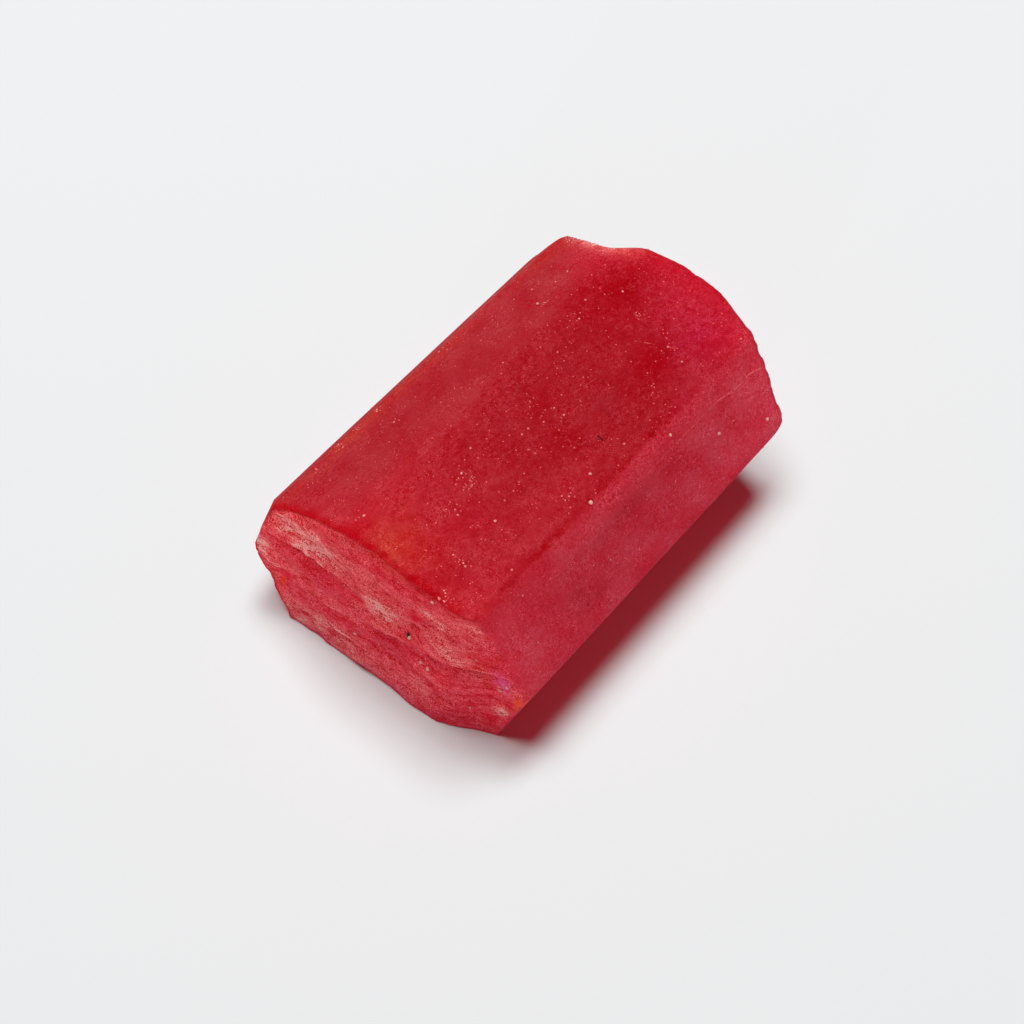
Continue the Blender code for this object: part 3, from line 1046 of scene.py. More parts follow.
WASHES = (
    # the top face
    Wash(Tone.LIGHT, (-18.5, -2.0, 19.0), (11.0, 14.0, 1.5), 0.90),
    Wash(Tone.RUBY, (22.0, -3.0, 19.0), (7.0, 12.0, 1.5), 0.85),
    Wash(Tone.DEEP, (15.8, 2.2, 19.0), (4.8, 3.4, 1.2), 0.75),
    Wash(Tone.DEEP, (12.6, -5.2, 19.0), (3.2, 2.6, 1.2), 0.95),
    Wash(Tone.DEEP, (17.2, 0.8, 19.0), (3.0, 3.0, 1.2), 0.40, patchy=0.3),
    Wash(Tone.DEEP, (0.3, -4.6, 19.0), (3.0, 2.0, 1.2), 0.80, patchy=0.4),
    Wash(Tone.DEEP, (3.0, -0.6, 19.0), (2.6, 2.0, 1.2), 0.80, patchy=0.4),
    Wash(Tone.DEEP, (-3.2, -1.8, 19.0), (2.0, 1.2, 1.2), 0.45, patchy=0.5),
    Wash(Tone.DEEP, (-6.4, -4.0, 19.0), (2.6, 1.4, 1.2), 0.50, patchy=0.5),
    Wash(Tone.DEEP, (-15.2, -6.0, 19.0), (2.6, 1.4, 1.2), 0.50, patchy=0.4),
    Wash(Tone.LIGHT, (-3.0, -7.6, 19.0), (4.6, 1.6, 1.2), 0.45, patchy=0.3),
    Wash(Tone.DUSK, (5.8, -4.3, 19.0), (1.2, 0.6, 0.6), 0.30, patchy=0.6),
    Wash(Tone.ORANGE, (-17.2, -0.3, 19.0), (2.4, 2.6, 1.2), 0.55, patchy=0.4),
    Wash(Tone.MAGENTA, (17.6, -7.2, 19.0), (3.0, 2.4, 1.2), 0.50),
    # painted glow: deep red where light comes through the near rim at the top's left corner
    Wash(Tone.GLOW, (-18.8, 4.2, 18.6), (1.2, 1.3, 1.2), 0.95, patchy=0.3),
    Wash(Tone.GLOW, (-20.2, 8.8, 16.2), (0.8, 1.6, 1.0), 0.90, patchy=0.3),
    # painted highlight: a small bright pink spot on the top's right-hand edge
    Wash(Tone.PINK_HIGHLIGHT, (11.5, -10.1, 18.9), (0.30, 0.22, 0.4), 0.30),
    Wash(Tone.MAGENTA, (11.0, -10.0, 18.9), (2.2, 0.6, 0.6), 0.60, patchy=0.7),
    # painted light: a deep red line along the edge between the top and the right-hand face, for less
    # reflected light and light coming through the edge
    Wash(Tone.DEEP, (0.0, -10.15, 19.0), (60.0, 0.42, 0.5), 0.95, patchy=0.7),
    Wash(Tone.FROST, (21.4, 4.7, 18.7), (0.6, 1.3, 0.8), 0.60, patchy=0.9),
    Wash(Tone.EMBER, (21.2, 6.4, 18.0), (0.5, 2.6, 1.4), 0.50, patchy=1.0),
    # the left strip
    Wash(Tone.LIGHT, (-19.0, 8.5, 16.9), (5.0, 5.0, 3.0), 0.50),
    Wash(Tone.PINK, (19.0, 7.6, 17.4), (3.0, 3.4, 2.4), 0.28, patchy=0.5),
    # painted shade: darker red along the upper left face towards the left edge, where it turns from the
    # light
    Wash(Tone.DUSK, (0.0, 14.3, 12.4), (60.0, 0.8, 1.4), 0.65, patchy=0.5),
    Wash(Tone.DEEP, (0.0, 15.4, 10.6), (60.0, 1.6, 3.0), 0.45, patchy=0.6),
    Wash(Tone.ORANGE, (-10.6, 13.3, 14.2), (5.4, 0.7, 0.9), 0.65, patchy=0.9),
    Wash(Tone.RUST, (-4.0, 12.9, 14.4), (18.0, 0.9, 1.1), 0.60, patchy=0.8),
    Wash(Tone.RUST, (17.5, 12.4, 15.0), (3.4, 1.2, 2.0), 0.55),
    Wash(Tone.FROST, (20.4, 9.0, 17.2), (0.7, 3.4, 2.4), 0.60, patchy=1.0),
    # the right-hand face
    Wash(Tone.CANDY, (20.5, -13.0, 14.5), (5.0, 4.0, 5.0), 0.90),
    Wash(Tone.CANDY, (-17.0, -13.0, 15.0), (4.0, 4.0, 4.0), 0.35),
    Wash(Tone.CANDY, (16.4, -14.8, 11.2), (6.4, 2.4, 2.4), 0.80),
    Wash(Tone.CANDY, (-12.0, -14.6, 12.0), (3.4, 2.0, 2.2), 0.30, patchy=0.4),
    Wash(Tone.CRIMSON, (2.0, -13.5, 12.5), (12.0, 3.0, 3.0), 0.30),
    Wash(Tone.DEEP, (-8.4, -13.8, 14.0), (1.3, 1.2, 1.4), 0.50, patchy=0.6),
    Wash(Tone.DEEP, (-6.2, -14.6, 12.2), (2.6, 1.0, 0.9), 0.45, patchy=0.6),
    Wash(Tone.RED, (0.0, -12.2, 15.8), (7.0, 1.0, 1.2), 0.45, patchy=0.4),
    # the near break
    Wash(Tone.CANDY, (-21.6, 4.0, 1.6), (2.6, 7.0, 1.9), 0.75),
    Wash(Tone.SCARLET, (-19.6, -4.0, 13.2), (1.8, 0.75, 1.15), 1.0, -0.3, bare=0.95),
    Wash(Tone.SCARLET, (-18.6, -10.8, 12.6), (1.8, 0.7, 1.1), 0.85, 0.0, 0.3, 0.9),
    Wash(Tone.SCARLET, (-19.4, 7.0, 15.8), (1.6, 0.9, 0.38), 0.75, 0.0, 0.0, 0.8),
    Wash(Tone.SCARLET, (-21.5, 10.9, 5.7), (1.8, 0.75, 1.35), 1.0, bare=1.0),
    Wash(Tone.EMBER, (-21.6, 11.4, 4.7), (1.6, 0.45, 0.75), 0.75, bare=0.5),
    # painted highlight: bright pink on the near break's right-hand corner
    Wash(Tone.PINK_HIGHLIGHT, (-18.6, -13.1, 10.2), (1.8, 0.65, 1.30), 1.0, 0.6, 0.15, 1.0),
    Wash(Tone.FROST, (-18.6, -13.0, 9.1), (1.4, 0.26, 0.50), 0.80),
    Wash(Tone.PINK_HIGHLIGHT, (-19.4, -5.8, 11.8), (1.6, 1.2, 1.0), 0.16, 0.0, 0.4),
    Wash(Tone.EMBER, (-18.4, -14.9, 7.9), (1.6, 0.55, 1.3), 1.0, 0.0, 0.3, 0.9),
    # painted shade: darker red at the right of the near break's foot, near the floor
    Wash(Tone.CRIMSON, (-21.0, -10.5, 1.8), (2.4, 3.8, 1.8), 0.75, -0.1),
    Wash(Tone.CRIMSON, (-20.5, 7.4, 8.9), (1.8, 4.0, 1.0), 0.55, 0.05, 0.2, 0.5),
    Wash(Tone.SCARLET, (-20.5, 5.2, 10.0), (1.8, 3.6, 0.45), 0.80, 0.05, 0.3, 0.7),
    Wash(Tone.SCARLET, (-20.5, 2.4, 9.9), (1.8, 1.2, 0.60), 0.85, 0.0, 0.4, 0.8),
    Wash(Tone.SCARLET, (-20.5, 2.6, 5.8), (1.8, 1.4, 0.60), 0.75, 0.0, 0.6, 0.6),
    Wash(Tone.CRIMSON, (-20.5, -1.8, 6.2), (1.8, 3.4, 1.3), 0.75, 0.0, 0.3, 0.5),
    Wash(Tone.MAGENTA, (-20.5, -1.2, 7.2), (1.8, 2.6, 0.8), 0.35, 0.0, 0.5, 0.3),
    Wash(Tone.CRIMSON, (-19.6, -6.8, 8.6), (1.8, 3.0, 0.9), 0.45, 0.0, 0.4, 0.3),
    Wash(Tone.SCARLET, (-19.9, -5.4, 10.1), (1.8, 1.1, 0.45), 0.75, 0.0, 0.4, 0.6),
    Wash(Tone.CRIMSON, (-19.0, -10.6, 9.4), (1.8, 1.8, 1.6), 0.35, 0.0, 0.5),
)

# Where the breaks are frosted: centre (y, z), reach, strength and slant
NEAR_VEILS = (
    Dent(9.4, 12.9, 4.8, 1.7, 0.37, 0.06),
    Dent(7.4, 12.8, 1.6, 0.8, 0.20, 0.06),
    Dent(8.8, 11.3, 3.8, 1.1, 0.30, 0.05),
    Dent(8.0, 14.8, 4.6, 0.9, 0.22, -0.05),
    Dent(6.6, 16.2, 2.2, 0.8, 0.16, -0.30),
    Dent(2.2, 14.2, 3.6, 1.2, 0.22, -0.10),
    Dent(0.2, 10.5, 2.3, 1.6, 0.68, -0.15),
    Dent(-1.8, 12.4, 2.0, 1.1, 0.16, -0.20),
    Dent(-5.6, 15.2, 2.8, 1.2, 0.28, 0.05),
    Dent(-7.4, 12.2, 2.6, 1.6, 0.38, -0.10),
    Dent(-10.8, 10.2, 1.8, 1.8, 0.22),
    Dent(-9.6, 17.0, 2.0, 1.2, 0.34, -0.08),
    Dent(14.0, 8.2, 0.9, 0.9, 0.62),
    Dent(12.6, 6.4, 2.4, 2.6, 0.20),
    Dent(10.0, 1.6, 3.4, 1.6, 0.30),
    Dent(3.4, 1.8, 4.6, 1.6, 0.28),
    Dent(-5.0, 3.6, 2.6, 1.4, 0.18),
    Dent(-6.2, 7.0, 1.0, 0.8, 0.20),
    Dent(-13.4, 5.0, 0.8, 0.8, 0.70),
    Dent(5.6, 6.6, 2.0, 1.0, 0.18),
    Dent(5.0, 17.4, 4.2, 0.8, 0.13),
    Dent(10.6, 8.2, 3.2, 1.5, 0.15),
    Dent(5.0, 2.6, 5.0, 0.9, 0.16),
)
FAR_VEILS = (
    Dent(8.0, 17.4, 4.4, 1.6, 0.50, -0.45),
    Dent(0.0, 12.0, 6.0, 2.0, 0.30, 0.2),
    Dent(-6.0, 6.0, 5.0, 2.0, 0.30, -0.3),
    Dent(6.0, 4.0, 4.0, 1.6, 0.22, 0.1),
)

SCRATCHES = (
    Scratch((3.0, -11.6, 16.9), (14.0, -11.7, 16.8), 0.10, Tone.FROST, 0.28),
    Scratch((14.0, -11.7, 16.8), (16.5, -12.0, 16.3), 0.09, Tone.FROST, 0.7),
    Scratch((16.5, -12.0, 16.3), (18.6, -12.0, 16.3), 0.08, Tone.FROST, 0.6),
    Scratch((18.6, -12.0, 16.3), (20.2, -12.2, 15.8), 0.10, Tone.FROST, 0.9),
    Scratch((13.0, -2.5, 19.0), (13.9, -4.1, 19.0), 0.06, Tone.FROST, 0.5),
    Scratch((4.6, -1.8, 19.0), (8.4, -2.6, 19.0), 0.05, Tone.FROST, 0.3),
    Scratch((9.0, 4.6, 19.0), (10.6, 3.4, 19.0), 0.05, Tone.FROST, 0.4),
    Scratch((2.62, -6.5, 19.0), (2.56, -7.35, 19.0), 0.13, Tone.COAL, 1.0),
    Scratch((2.30, -6.7, 19.0), (2.60, -6.9, 19.0), 0.10, Tone.COAL, 0.8),
    Scratch((5.2, -5.1, 19.0), (5.3, -5.5, 19.0), 0.30, Tone.DUSK, 0.5),
)

SPARKLES = (
    Sparkle((-11.7, -1.8, 19.0), 0.40, 0.70),
    Sparkle((1.5, -2.1, 19.0), 0.95, 0.28),
    Sparkle((-14.9, -5.2, 19.0), 0.40, 0.70),
    Sparkle((15.8, -1.1, 19.0), 0.30, 0.40),
    Sparkle((11.8, 3.4, 19.0), 0.40, 0.22),
    Sparkle((1.6, 0.5, 19.0), 0.30, 0.45),
    Sparkle((-8.6, -0.4, 19.0), 0.70, 0.60),
    Sparkle((11.6, 7.5, 17.8), 0.30, 0.50),
    Sparkle((-14.2, 13.1, 14.3), 0.50, 0.45),
    Sparkle((-11.4, 13.3, 14.2), 0.60, 0.50),
    Sparkle((-8.6, 13.4, 14.1), 0.40, 0.35),
    Sparkle((-5.9, 13.2, 14.2), 0.30, 0.30),
    Sparkle((3.0, 12.9, 14.4), 0.30, 0.30),
    Sparkle((20.4, 11.0, 15.6), 0.60, 0.45),
    Sparkle((20.6, 8.6, 17.0), 0.50, 0.40),
    Sparkle((20.9, 6.4, 18.2), 0.40, 0.45),
    Sparkle((-18.4, -6.8, 19.0), 0.40, 0.50),
    Sparkle((-3.9, -8.2, 19.0), 0.45, 0.50),
)

GRAINS = (
    Grain((-19.2, -6.0, 18.0), 0.17, Tone.WHITE),
    Grain((-18.9, -6.4, 18.9), 0.12, Tone.FROST),
    Grain((-3.4, -10.4, 18.9), 0.21, Tone.SAND),
    Grain((-20.4, -5.5, 7.7), 0.17, Tone.WHITE),
    Grain((-20.3, -6.4, 7.6), 0.19, Tone.WHITE),
    Grain((-20.2, -3.6, 10.1), 0.22, Tone.COAL),
    Grain((-20.2, -3.9, 9.9), 0.20, Tone.SAND),
    Grain((-18.6, -13.0, 9.0), 0.26, Tone.FROST),
    Grain((-18.9, -13.3, 4.6), 0.26, Tone.FROST),
    Grain((-18.3, -14.4, 6.2), 0.16, Tone.EMBER),
    Grain((-18.5, -13.6, 9.9), 0.14, Tone.WHITE),
    Grain((-18.6, -12.9, 9.5), 0.16, Tone.FROST),
    Grain((-18.4, -14.1, 9.4), 0.13, Tone.FROST),
    Grain((-18.3, -14.7, 8.7), 0.14, Tone.EMBER),
    Grain((-18.3, -14.9, 7.3), 0.13, Tone.EMBER),
    Grain((-21.6, 2.5, 4.1), 0.17, Tone.WHITE),
    Grain((-20.4, 6.1, 10.7), 0.10, Tone.WHITE),
    Grain((-20.0, -10.5, 4.0), 0.12, Tone.WHITE),
    Grain((-20.9, -1.2, 8.2), 0.12, Tone.FROST),
    Grain((-18.8, -10.5, 12.4), 0.13, Tone.FROST),
    Grain((-18.6, -11.0, 11.6), 0.12, Tone.EMBER),
    Grain((12.5, -13.1, 14.4), 0.17, Tone.WHITE),
    Grain((7.6, -11.0, 18.0), 0.15, Tone.SAND),
    Grain((18.7, -14.8, 11.5), 0.19, Tone.SAND),
    Grain((14.6, -13.2, 14.1), 0.09, Tone.FROST),
    Grain((11.6, -14.2, 12.5), 0.10, Tone.FROST),
    Grain((11.2, 7.8, 17.7), 0.15, Tone.WHITE),
    Grain((16.1, 8.1, 17.6), 0.10, Tone.WHITE),
    Grain((-10.0, -5.1, 19.0), 0.11, Tone.WHITE),
    Grain((-12.9, -9.5, 19.0), 0.12, Tone.FROST),
    Grain((-0.7, -8.4, 19.0), 0.13, Tone.WHITE),
    Grain((-8.4, 0.2, 19.0), 0.12, Tone.WHITE),
    Grain((7.4, 2.1, 19.0), 0.10, Tone.FROST),
    Grain((14.0, -7.2, 19.0), 0.10, Tone.WHITE),
    Grain((19.6, -9.8, 18.9), 0.12, Tone.FROST),
    Grain((16.9, 2.0, 19.0), 0.10, Tone.WHITE),
)

NEAR = Break(NEAR_DENTS, NEAR_LEDGES, NEAR_SPLINTERS, NEAR_HAIRS, NEAR_VEILS)
FAR = Break(FAR_DENTS, FAR_LEDGES, FAR_SPLINTERS, FAR_HAIRS, FAR_VEILS)


@dataclass
class Coat:
    """The colour of every point of the skin, while tones are laid over it."""

    tint: Array

    def lay(self, tone: Tone, strength: Array) -> None:
        """Lays a tone over the colours, by a strength from 0 to 1 at each point."""
        self.tint = self.tint + (np.array(tone.value) - self.tint) * strength[..., None]


@dataclass
class Crystal:
    """The ruby crystal: a prism of natural faces between two breaks.

    Its surface is one grid of turns round the middle line by rows from the middle of the near
    break, out over it, along the sides, and back in over the far break.
    """

    length: float = 44.8
    height: float = 19.0
    firm_edge: float = 1500.0
    soft_edge: float = 260.0
    face_swell: float = 0.005
    swell_length: float = 9.0
    swell_grains: float = 3.2
    grains_round: int = 64
    # the near break
    near_x: float = -18.9
    near_lean: float = 0.165
    lean_change: float = 0.0039
    fall_back: float = 1.9
    fall_from: float = 7.4
    fall_over: float = 6.6
    near_jags: float = 0.16
    # the far break
    far_x: float = 20.9
    far_lean: float = 0.03
    dome: float = 2.2
    dome_middle: float = -0.7
    dome_reach: float = 7.6
    calming: float = 0.6
    calm_from: float = 14.5
    calm_over: float = 4.0
    far_jags: float = 0.16
    corner_jags: float = 0.38
    corner_y: float = 8.0
    corner_width: float = 4.0
    corner_from: float = 9.5
    # the worn rims
    rim_wear: float = 0.012
    rim_nibble: float = 0.016
    rim_reach: float = 0.55
    nibble: float = 0.006
    jag_share: float = 0.05
    chip_swell: float = 0.1
    foot_height: float = 0.08
    foot_end: float = 1.4
    # colours and masks
    break_edge: float = 0.04
    ledge_shade: float = 0.16
    patch_grain: float = 0.9
    # where the painted glow lies just inside the near rim
    rim_glow: float = 0.22
    rim_glow_from: float = -10.5
    far_line: float = 0.05
    far_line_width: float = 0.32
    crumbled: float = 0.85
    crumble_reach: float = 0.9
    crumble_y: float = 7.5
    crumble_width: float = 4.5
    # the grid
    around: int = 360
    near_rows: int = 112
    side_rows: int = 114
    far_rows: int = 38
    rim_crowding: float = 0.35
    end_crowding: float = 0.6
    outline_steps: int = 20000

    def section(self, turn: Array, x: Array) -> tuple[Array, Array]:
        """Distance of the prism's surface from its middle line.

        The reciprocal distance is the soft maximum of cos(turn - facing) / distance over all
        natural faces. Top and bevel are joined first, with a softer edge.

        Args:
            turn: Angle round the middle line, from +Y towards +Z.
            x: Place along the prism.

        Returns:
            The distance, and the share that each natural face has in it, along a first axis.
        """
        middle = self.height / 2
        closeness = []
        for face in NATURAL_FACES:
            angle = math.radians(face.facing)
            away = face.y * math.cos(angle) + (face.z - middle) * math.sin(angle) - face.lean * x
            closeness.append(np.cos(turn - angle) / away)
        stacked = np.stack(np.broadcast_arrays(*closeness))
        pair = np.logaddexp(stacked[0] * self.soft_edge, stacked[1] * self.soft_edge) / self.soft_edge
        joined = np.concatenate([pair[None], stacked[2:]]) * self.firm_edge
        peak = joined.max(axis=0)
        total = np.exp(joined - peak).sum(axis=0)
        nearness = (peak + np.log(total)) / self.firm_edge
        shares = np.exp(stacked * self.firm_edge - nearness * self.firm_edge)
        return 1.0 / nearness, shares / shares.sum(axis=0)

    def near_break(self, y: Array, z: Array) -> Array:
        """X of the near break, which leans out towards its foot and falls back at the right.

        Args:
            y: Places across.
            z: Heights.

        Returns:
            X at each point.
        """
        lean = self.near_lean + self.lean_change * y
        fall_back = self.fall_back * rise(-y, self.fall_from, self.fall_over)
        plane = self.near_x - lean * (self.height - z) + fall_back
        return plane + NEAR.hollows(y, z) + NEAR.steps(y, z) + NEAR.rough(y, z)

    def far_break(self, y: Array, z: Array) -> Array:
        """X of the far break: a low dome exp(-across^4) with a notched rim, calmer at its top.

        Args:
            y: Places across.
            z: Heights.

        Returns:
            X at each point.
        """
        dome = self.dome * bell((y - self.dome_middle) / self.dome_reach, 4)
        plane = self.far_x + dome + self.far_lean * (z - self.height)
        calm = 1.0 - self.calming * rise(z, self.calm_from, self.calm_over)
        return plane - (FAR.hollows(y, z) + calm * FAR.steps(y, z)) - calm * FAR.rough(y, z)

    def even_turns(self) -> Array:
        """Angles that divide the middle section's outline evenly, starting under the stone.

        Returns:
            The angles, of which there are as many as the grid has places around.
        """
        fine = np.linspace(-math.pi / 2, 1.5 * math.pi, self.outline_steps + 1)
        reach = self.section(fine, np.zeros(1))[0]
        across = np.stack([reach * np.cos(fine), reach * np.sin(fine)])
        steps = np.linalg.norm(np.diff(across, axis=1), axis=0)
        run = np.concatenate([[0.0], np.cumsum(steps)])
        return np.interp(np.arange(self.around) / self.around * run[-1], run, fine)

    def rows(self) -> tuple[Array, Array]:
        """How far along and how far out each row of the grid lies, closer together at the rims.

        Returns:
            The share of the length, 0 at the near break and 1 at the far one, and the share of
            the way out from the middle line.
        """

        def outward(rows: int) -> Array:
            """Shares of the way out, from 0 to just below 1."""
            even = np.linspace(0.0, 1.0, rows, endpoint=False)
            return even * (1 + self.rim_crowding - self.rim_crowding * even)

        even = np.linspace(-1.0, 1.0, self.side_rows)
        eased = self.end_crowding * np.sin(even * math.pi / 2)
        along = 0.5 + 0.5 * ((1 - self.end_crowding) * even + eased)
        share = np.concatenate([np.zeros(self.near_rows), along, np.ones(self.far_rows)])
        out = [outward(self.near_rows), np.ones(self.side_rows), outward(self.far_rows)[::-1]]
        return share, np.concatenate(out)

    def surface(self, turn: Array, share: Array, out: Array) -> Array:
        """Places on the stone's skin.

        The section is swollen and worn, its points slide along X onto the breaks, and points
        outside a chip's plane are laid back onto it.

        Args:
            turn: Angle round the middle line.
            share: Share of the length.
            out: Share of the way out from the middle line, below 1 only on the breaks.

        Returns:
            The points in millimetres, with x, y and z along the last axis.
        """
        middle = self.height / 2
        place = (share - 0.5) * self.length
        end = np.sign(place)
        from_end = self.length / 2 - np.abs(place)
        reach = self.section(turn, place)[0] * out
        grains = (np.mod(turn + math.pi, math.tau) - math.pi) / math.tau * self.grains_round
        swell = value_noise(place / self.swell_length, grains / self.swell_grains, Seed.SWELL)
        above_foot = rise(middle + reach * np.sin(turn), 0.5, 3.0)
        reach = reach * (1 - self.face_swell * (0.5 + 0.5 * swell) * above_foot)
        bites = np.clip(value_noise(grains, end * 7.5, Seed.BITES), 0, 1)
        nibbles = self.nibble * value_noise(grains * 4.0, end * 3.5, Seed.NIBBLES, 256)
        wear = (self.rim_wear + self.rim_nibble * bites + nibbles) * np.exp(-from_end / self.rim_reach)
        reach = reach * (1 - wear)
        y = reach * np.cos(turn)
        z = middle + reach * np.sin(turn)

        at_rim = bell((1 - out) / self.jag_share)
        jags = np.clip(value_noise(grains * 1.7, end * 5.5, Seed.JAGS, 256), 0, 1) * (0.3 + bites)
        chipped = self.corner_jags * bell((y - self.corner_y) / self.corner_width)
        chipped = chipped * rise(z, self.corner_from, 3.0) * np.abs(nibbles) / self.nibble
        near = self.near_break(y, z) + self.near_jags * jags * at_rim
        far = self.far_break(y, z) - (self.far_jags * jags + chipped) * at_rim
        points = np.stack([near + (far - near) * share, y, z], axis=-1)
        for number, chip in enumerate(CHIPS):
            normal = unit(np.array(chip.normal))
            outside = np.clip((points - np.array(chip.point)) @ normal, 0.0, None)
            swollen = value_noise(points[..., 1], points[..., 2], Seed.CHIPS + number)
            points = points - (outside * (1.0 + self.chip_swell * swollen))[..., None] * normal
        foot = (z < self.foot_height) & (from_end > self.foot_end) & (out > 0.99)
        points[..., 2] = np.where(foot, 0.0, np.maximum(points[..., 2], 0.0))
        return points

    def wash(self, coat: Coat, points: Array) -> Array:
        """Lays the washes over a coat, each by its strength times exp(-distance^2).

        Args:
            coat: The colours so far.
            points: The surface points.

        Returns:
            The share of the frost that the washes leave at each point.
        """
        x, y, z = np.moveaxis(points, -1, 0)
        across = x / self.patch_grain + 0.7 * z
        patches = 0.5 + 0.5 * value_noise(across, y / self.patch_grain + 0.7 * z, Seed.PATCHES)
        left = np.ones_like(x)
        for wash in WASHES:
            gaps = points - np.array(wash.centre)
            gaps[..., 2] -= wash.slant * gaps[..., 1]
            closeness = np.exp(-((gaps / np.array(wash.reach)) ** 2).sum(axis=-1))
            strength = wash.strength * closeness * (1 - wash.patchy * patches)
            coat.lay(wash.tone, strength)
            left = left * (1 - wash.bare * strength)
        return left

    def tints(self, turn: Array, share: Array, out: Array, points: Array) -> tuple[Array, Array]:
        """Colour of each point, and its masks.

        Each natural face lends its tone by its share in the section, the breaks have their own,
        and the washes lie over both. Then come a deep red line just inside the near rim, which is a
        painted glow for light that comes through the rim, a dark one at the far rim, and deeper red
        under each ledge of the breaks, which is painted shade. Frost lies on the breaks where the
        veils are and on the far rim's crumbled part; there is less of it under the ledges and more on
        them, which paints shade under them and light on them.

        Args:
            turn: Angle round the middle line.
            share: Share of the length.
            out: Share of the way out.
            points: The surface points.

        Returns:
            The tint, and the masks of the breaks, of the frost and of the wisps, both as colours.
        """
        x, y, z = np.moveaxis(points, -1, 0)
        shares = self.section(turn, (share - 0.5) * self.length)[1]
        tones = np.array([face.tone.value for face in NATURAL_FACES])
        coat = Coat(np.einsum("f...,fc->...c", shares, tones))
        on_break = rise(1.0 - out, 0.0, self.break_edge)
        coat.lay(Tone.BREAK, on_break)
        frosted = on_break * self.wash(coat, points)

        from_near = share * self.length
        from_far = (1 - share) * self.length
        uneven = 0.6 + 0.4 * value_noise(turn * 14.0, np.zeros_like(turn), Seed.RIM_LINE)
        # painted glow: a deep red line just inside the near rim, for light coming through the edge
        line = bell((from_near - self.rim_glow) / (0.18 + 0.45 * uneven))
        line = line * rise(z, 8.0, 4.0) * rise(y, self.rim_glow_from, 3.0)
        coat.lay(Tone.GLOW, line * (0.55 + 0.45 * uneven) * (1 - on_break))
        line = bell((from_far - self.far_line) / self.far_line_width) * (1 - on_break)
        coat.lay(Tone.DUSK, 0.90 * line * uneven)

        near = share < 0.5
        steps = np.where(near, NEAR.steps(y, z), FAR.steps(y, z)) / self.ledge_shade
        under = np.clip(steps, 0, 1)
        # painted shade: deeper red in the hollow under each ledge of the breaks
        coat.lay(Tone.CRIMSON, 0.55 * under * on_break)
        veil = np.where(near, NEAR.veil(y, z), FAR.veil(y, z))
        # painted shade and light: less frost under each ledge and more on it
        veil = veil * (1 - 0.65 * under) + 0.16 * np.clip(-steps, 0, 1)
        patchy = 0.5 + 0.5 * value_noise(x / 3.0 + 7.0, y / 2.2, Seed.WISPS)
        wispy = np.clip(0.05 + 0.30 * patchy + 0.65 * shares[0], 0, 1) * (1 - on_break)
        crumbled = self.crumbled * bell(from_far / self.crumble_reach)
        crumbled = crumbled * bell((y - self.crumble_y) / self.crumble_width, 4)
        frosted = np.maximum(frosted, crumbled * rise(z, 10.0, 3.0))
        masks = np.stack([frosted, np.clip(veil, 0, 1), wispy, np.ones_like(wispy)], axis=-1)
        return np.concatenate([np.clip(coat.tint, 0, 1), np.ones_like(x)[..., None]], axis=-1), masks

    def build(self) -> bpy.types.Object:
        """Makes the closed mesh, with its colours as attributes.

        Returns:
            The stone.
        """
        turn = self.even_turns()[None, :]
        share, out = (row[:, None] for row in self.rows())
        turn, share, out = np.broadcast_arrays(turn, share, out)
        points = self.surface(turn, share, out)
        tint, masks = self.tints(turn, share, out, points)
        low, high = points[..., :2].min(axis=(0, 1)), points[..., :2].max(axis=(0, 1))
        points[..., :2] -= (low + high) / 2

        count = self.around
        last = (points.shape[0] - 3) * count
        first = np.arange(last)
        beside = first - first % count + (first + 1) % count
        sides = np.stack([first, beside, beside + count, first + count], axis=-1) + 2
        ring = np.arange(count)
        following = (ring + 1) % count
        near_fan = np.stack([np.zeros_like(ring), following + 2, ring + 2], axis=-1)
        far_fan = np.stack([np.ones_like(ring), ring + last + 2, following + last + 2], axis=-1)

        def listed(grid: Array) -> Array:
            """The two poles, then every row between them."""
            return np.concatenate([grid[:1, 0], grid[-1:, 0], grid[1:-1].reshape(-1, grid.shape[-1])])

        stone = mesh_object("ruby_stone", listed(points), [sides, near_fan, far_fan])
        add_colours(stone, "tint", listed(tint))
        add_colours(stone, "marks", listed(masks))
        return stone

    def strew(self, rng: np.random.Generator, count: int) -> Array:
        """Picks points of the skin at random: any turn above the foot, evenly along the stone.

        Args:
            rng: The random numbers.
            count: How many points.

        Returns:
            Corner numbers in the stone's mesh.
        """
        share = self.rows()[0]
        row = np.searchsorted(share, rng.uniform(0.01, 0.99, count))
        foot = round(0.17 * self.around)
        column = rng.integers(foot, self.around - foot, count)
        return 2 + (row - 1) * self.around + column

    def dress(self, stone: bpy.types.Object, patterns: Patterns) -> None:
        """Gives the stone its finish.

        Args:
            stone: The stone's object.
            patterns: The shared node groups.
        """
        stone.data.materials.append(RubyFinish().make(patterns))
        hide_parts("ruby_crystal")
        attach(stone, "root")


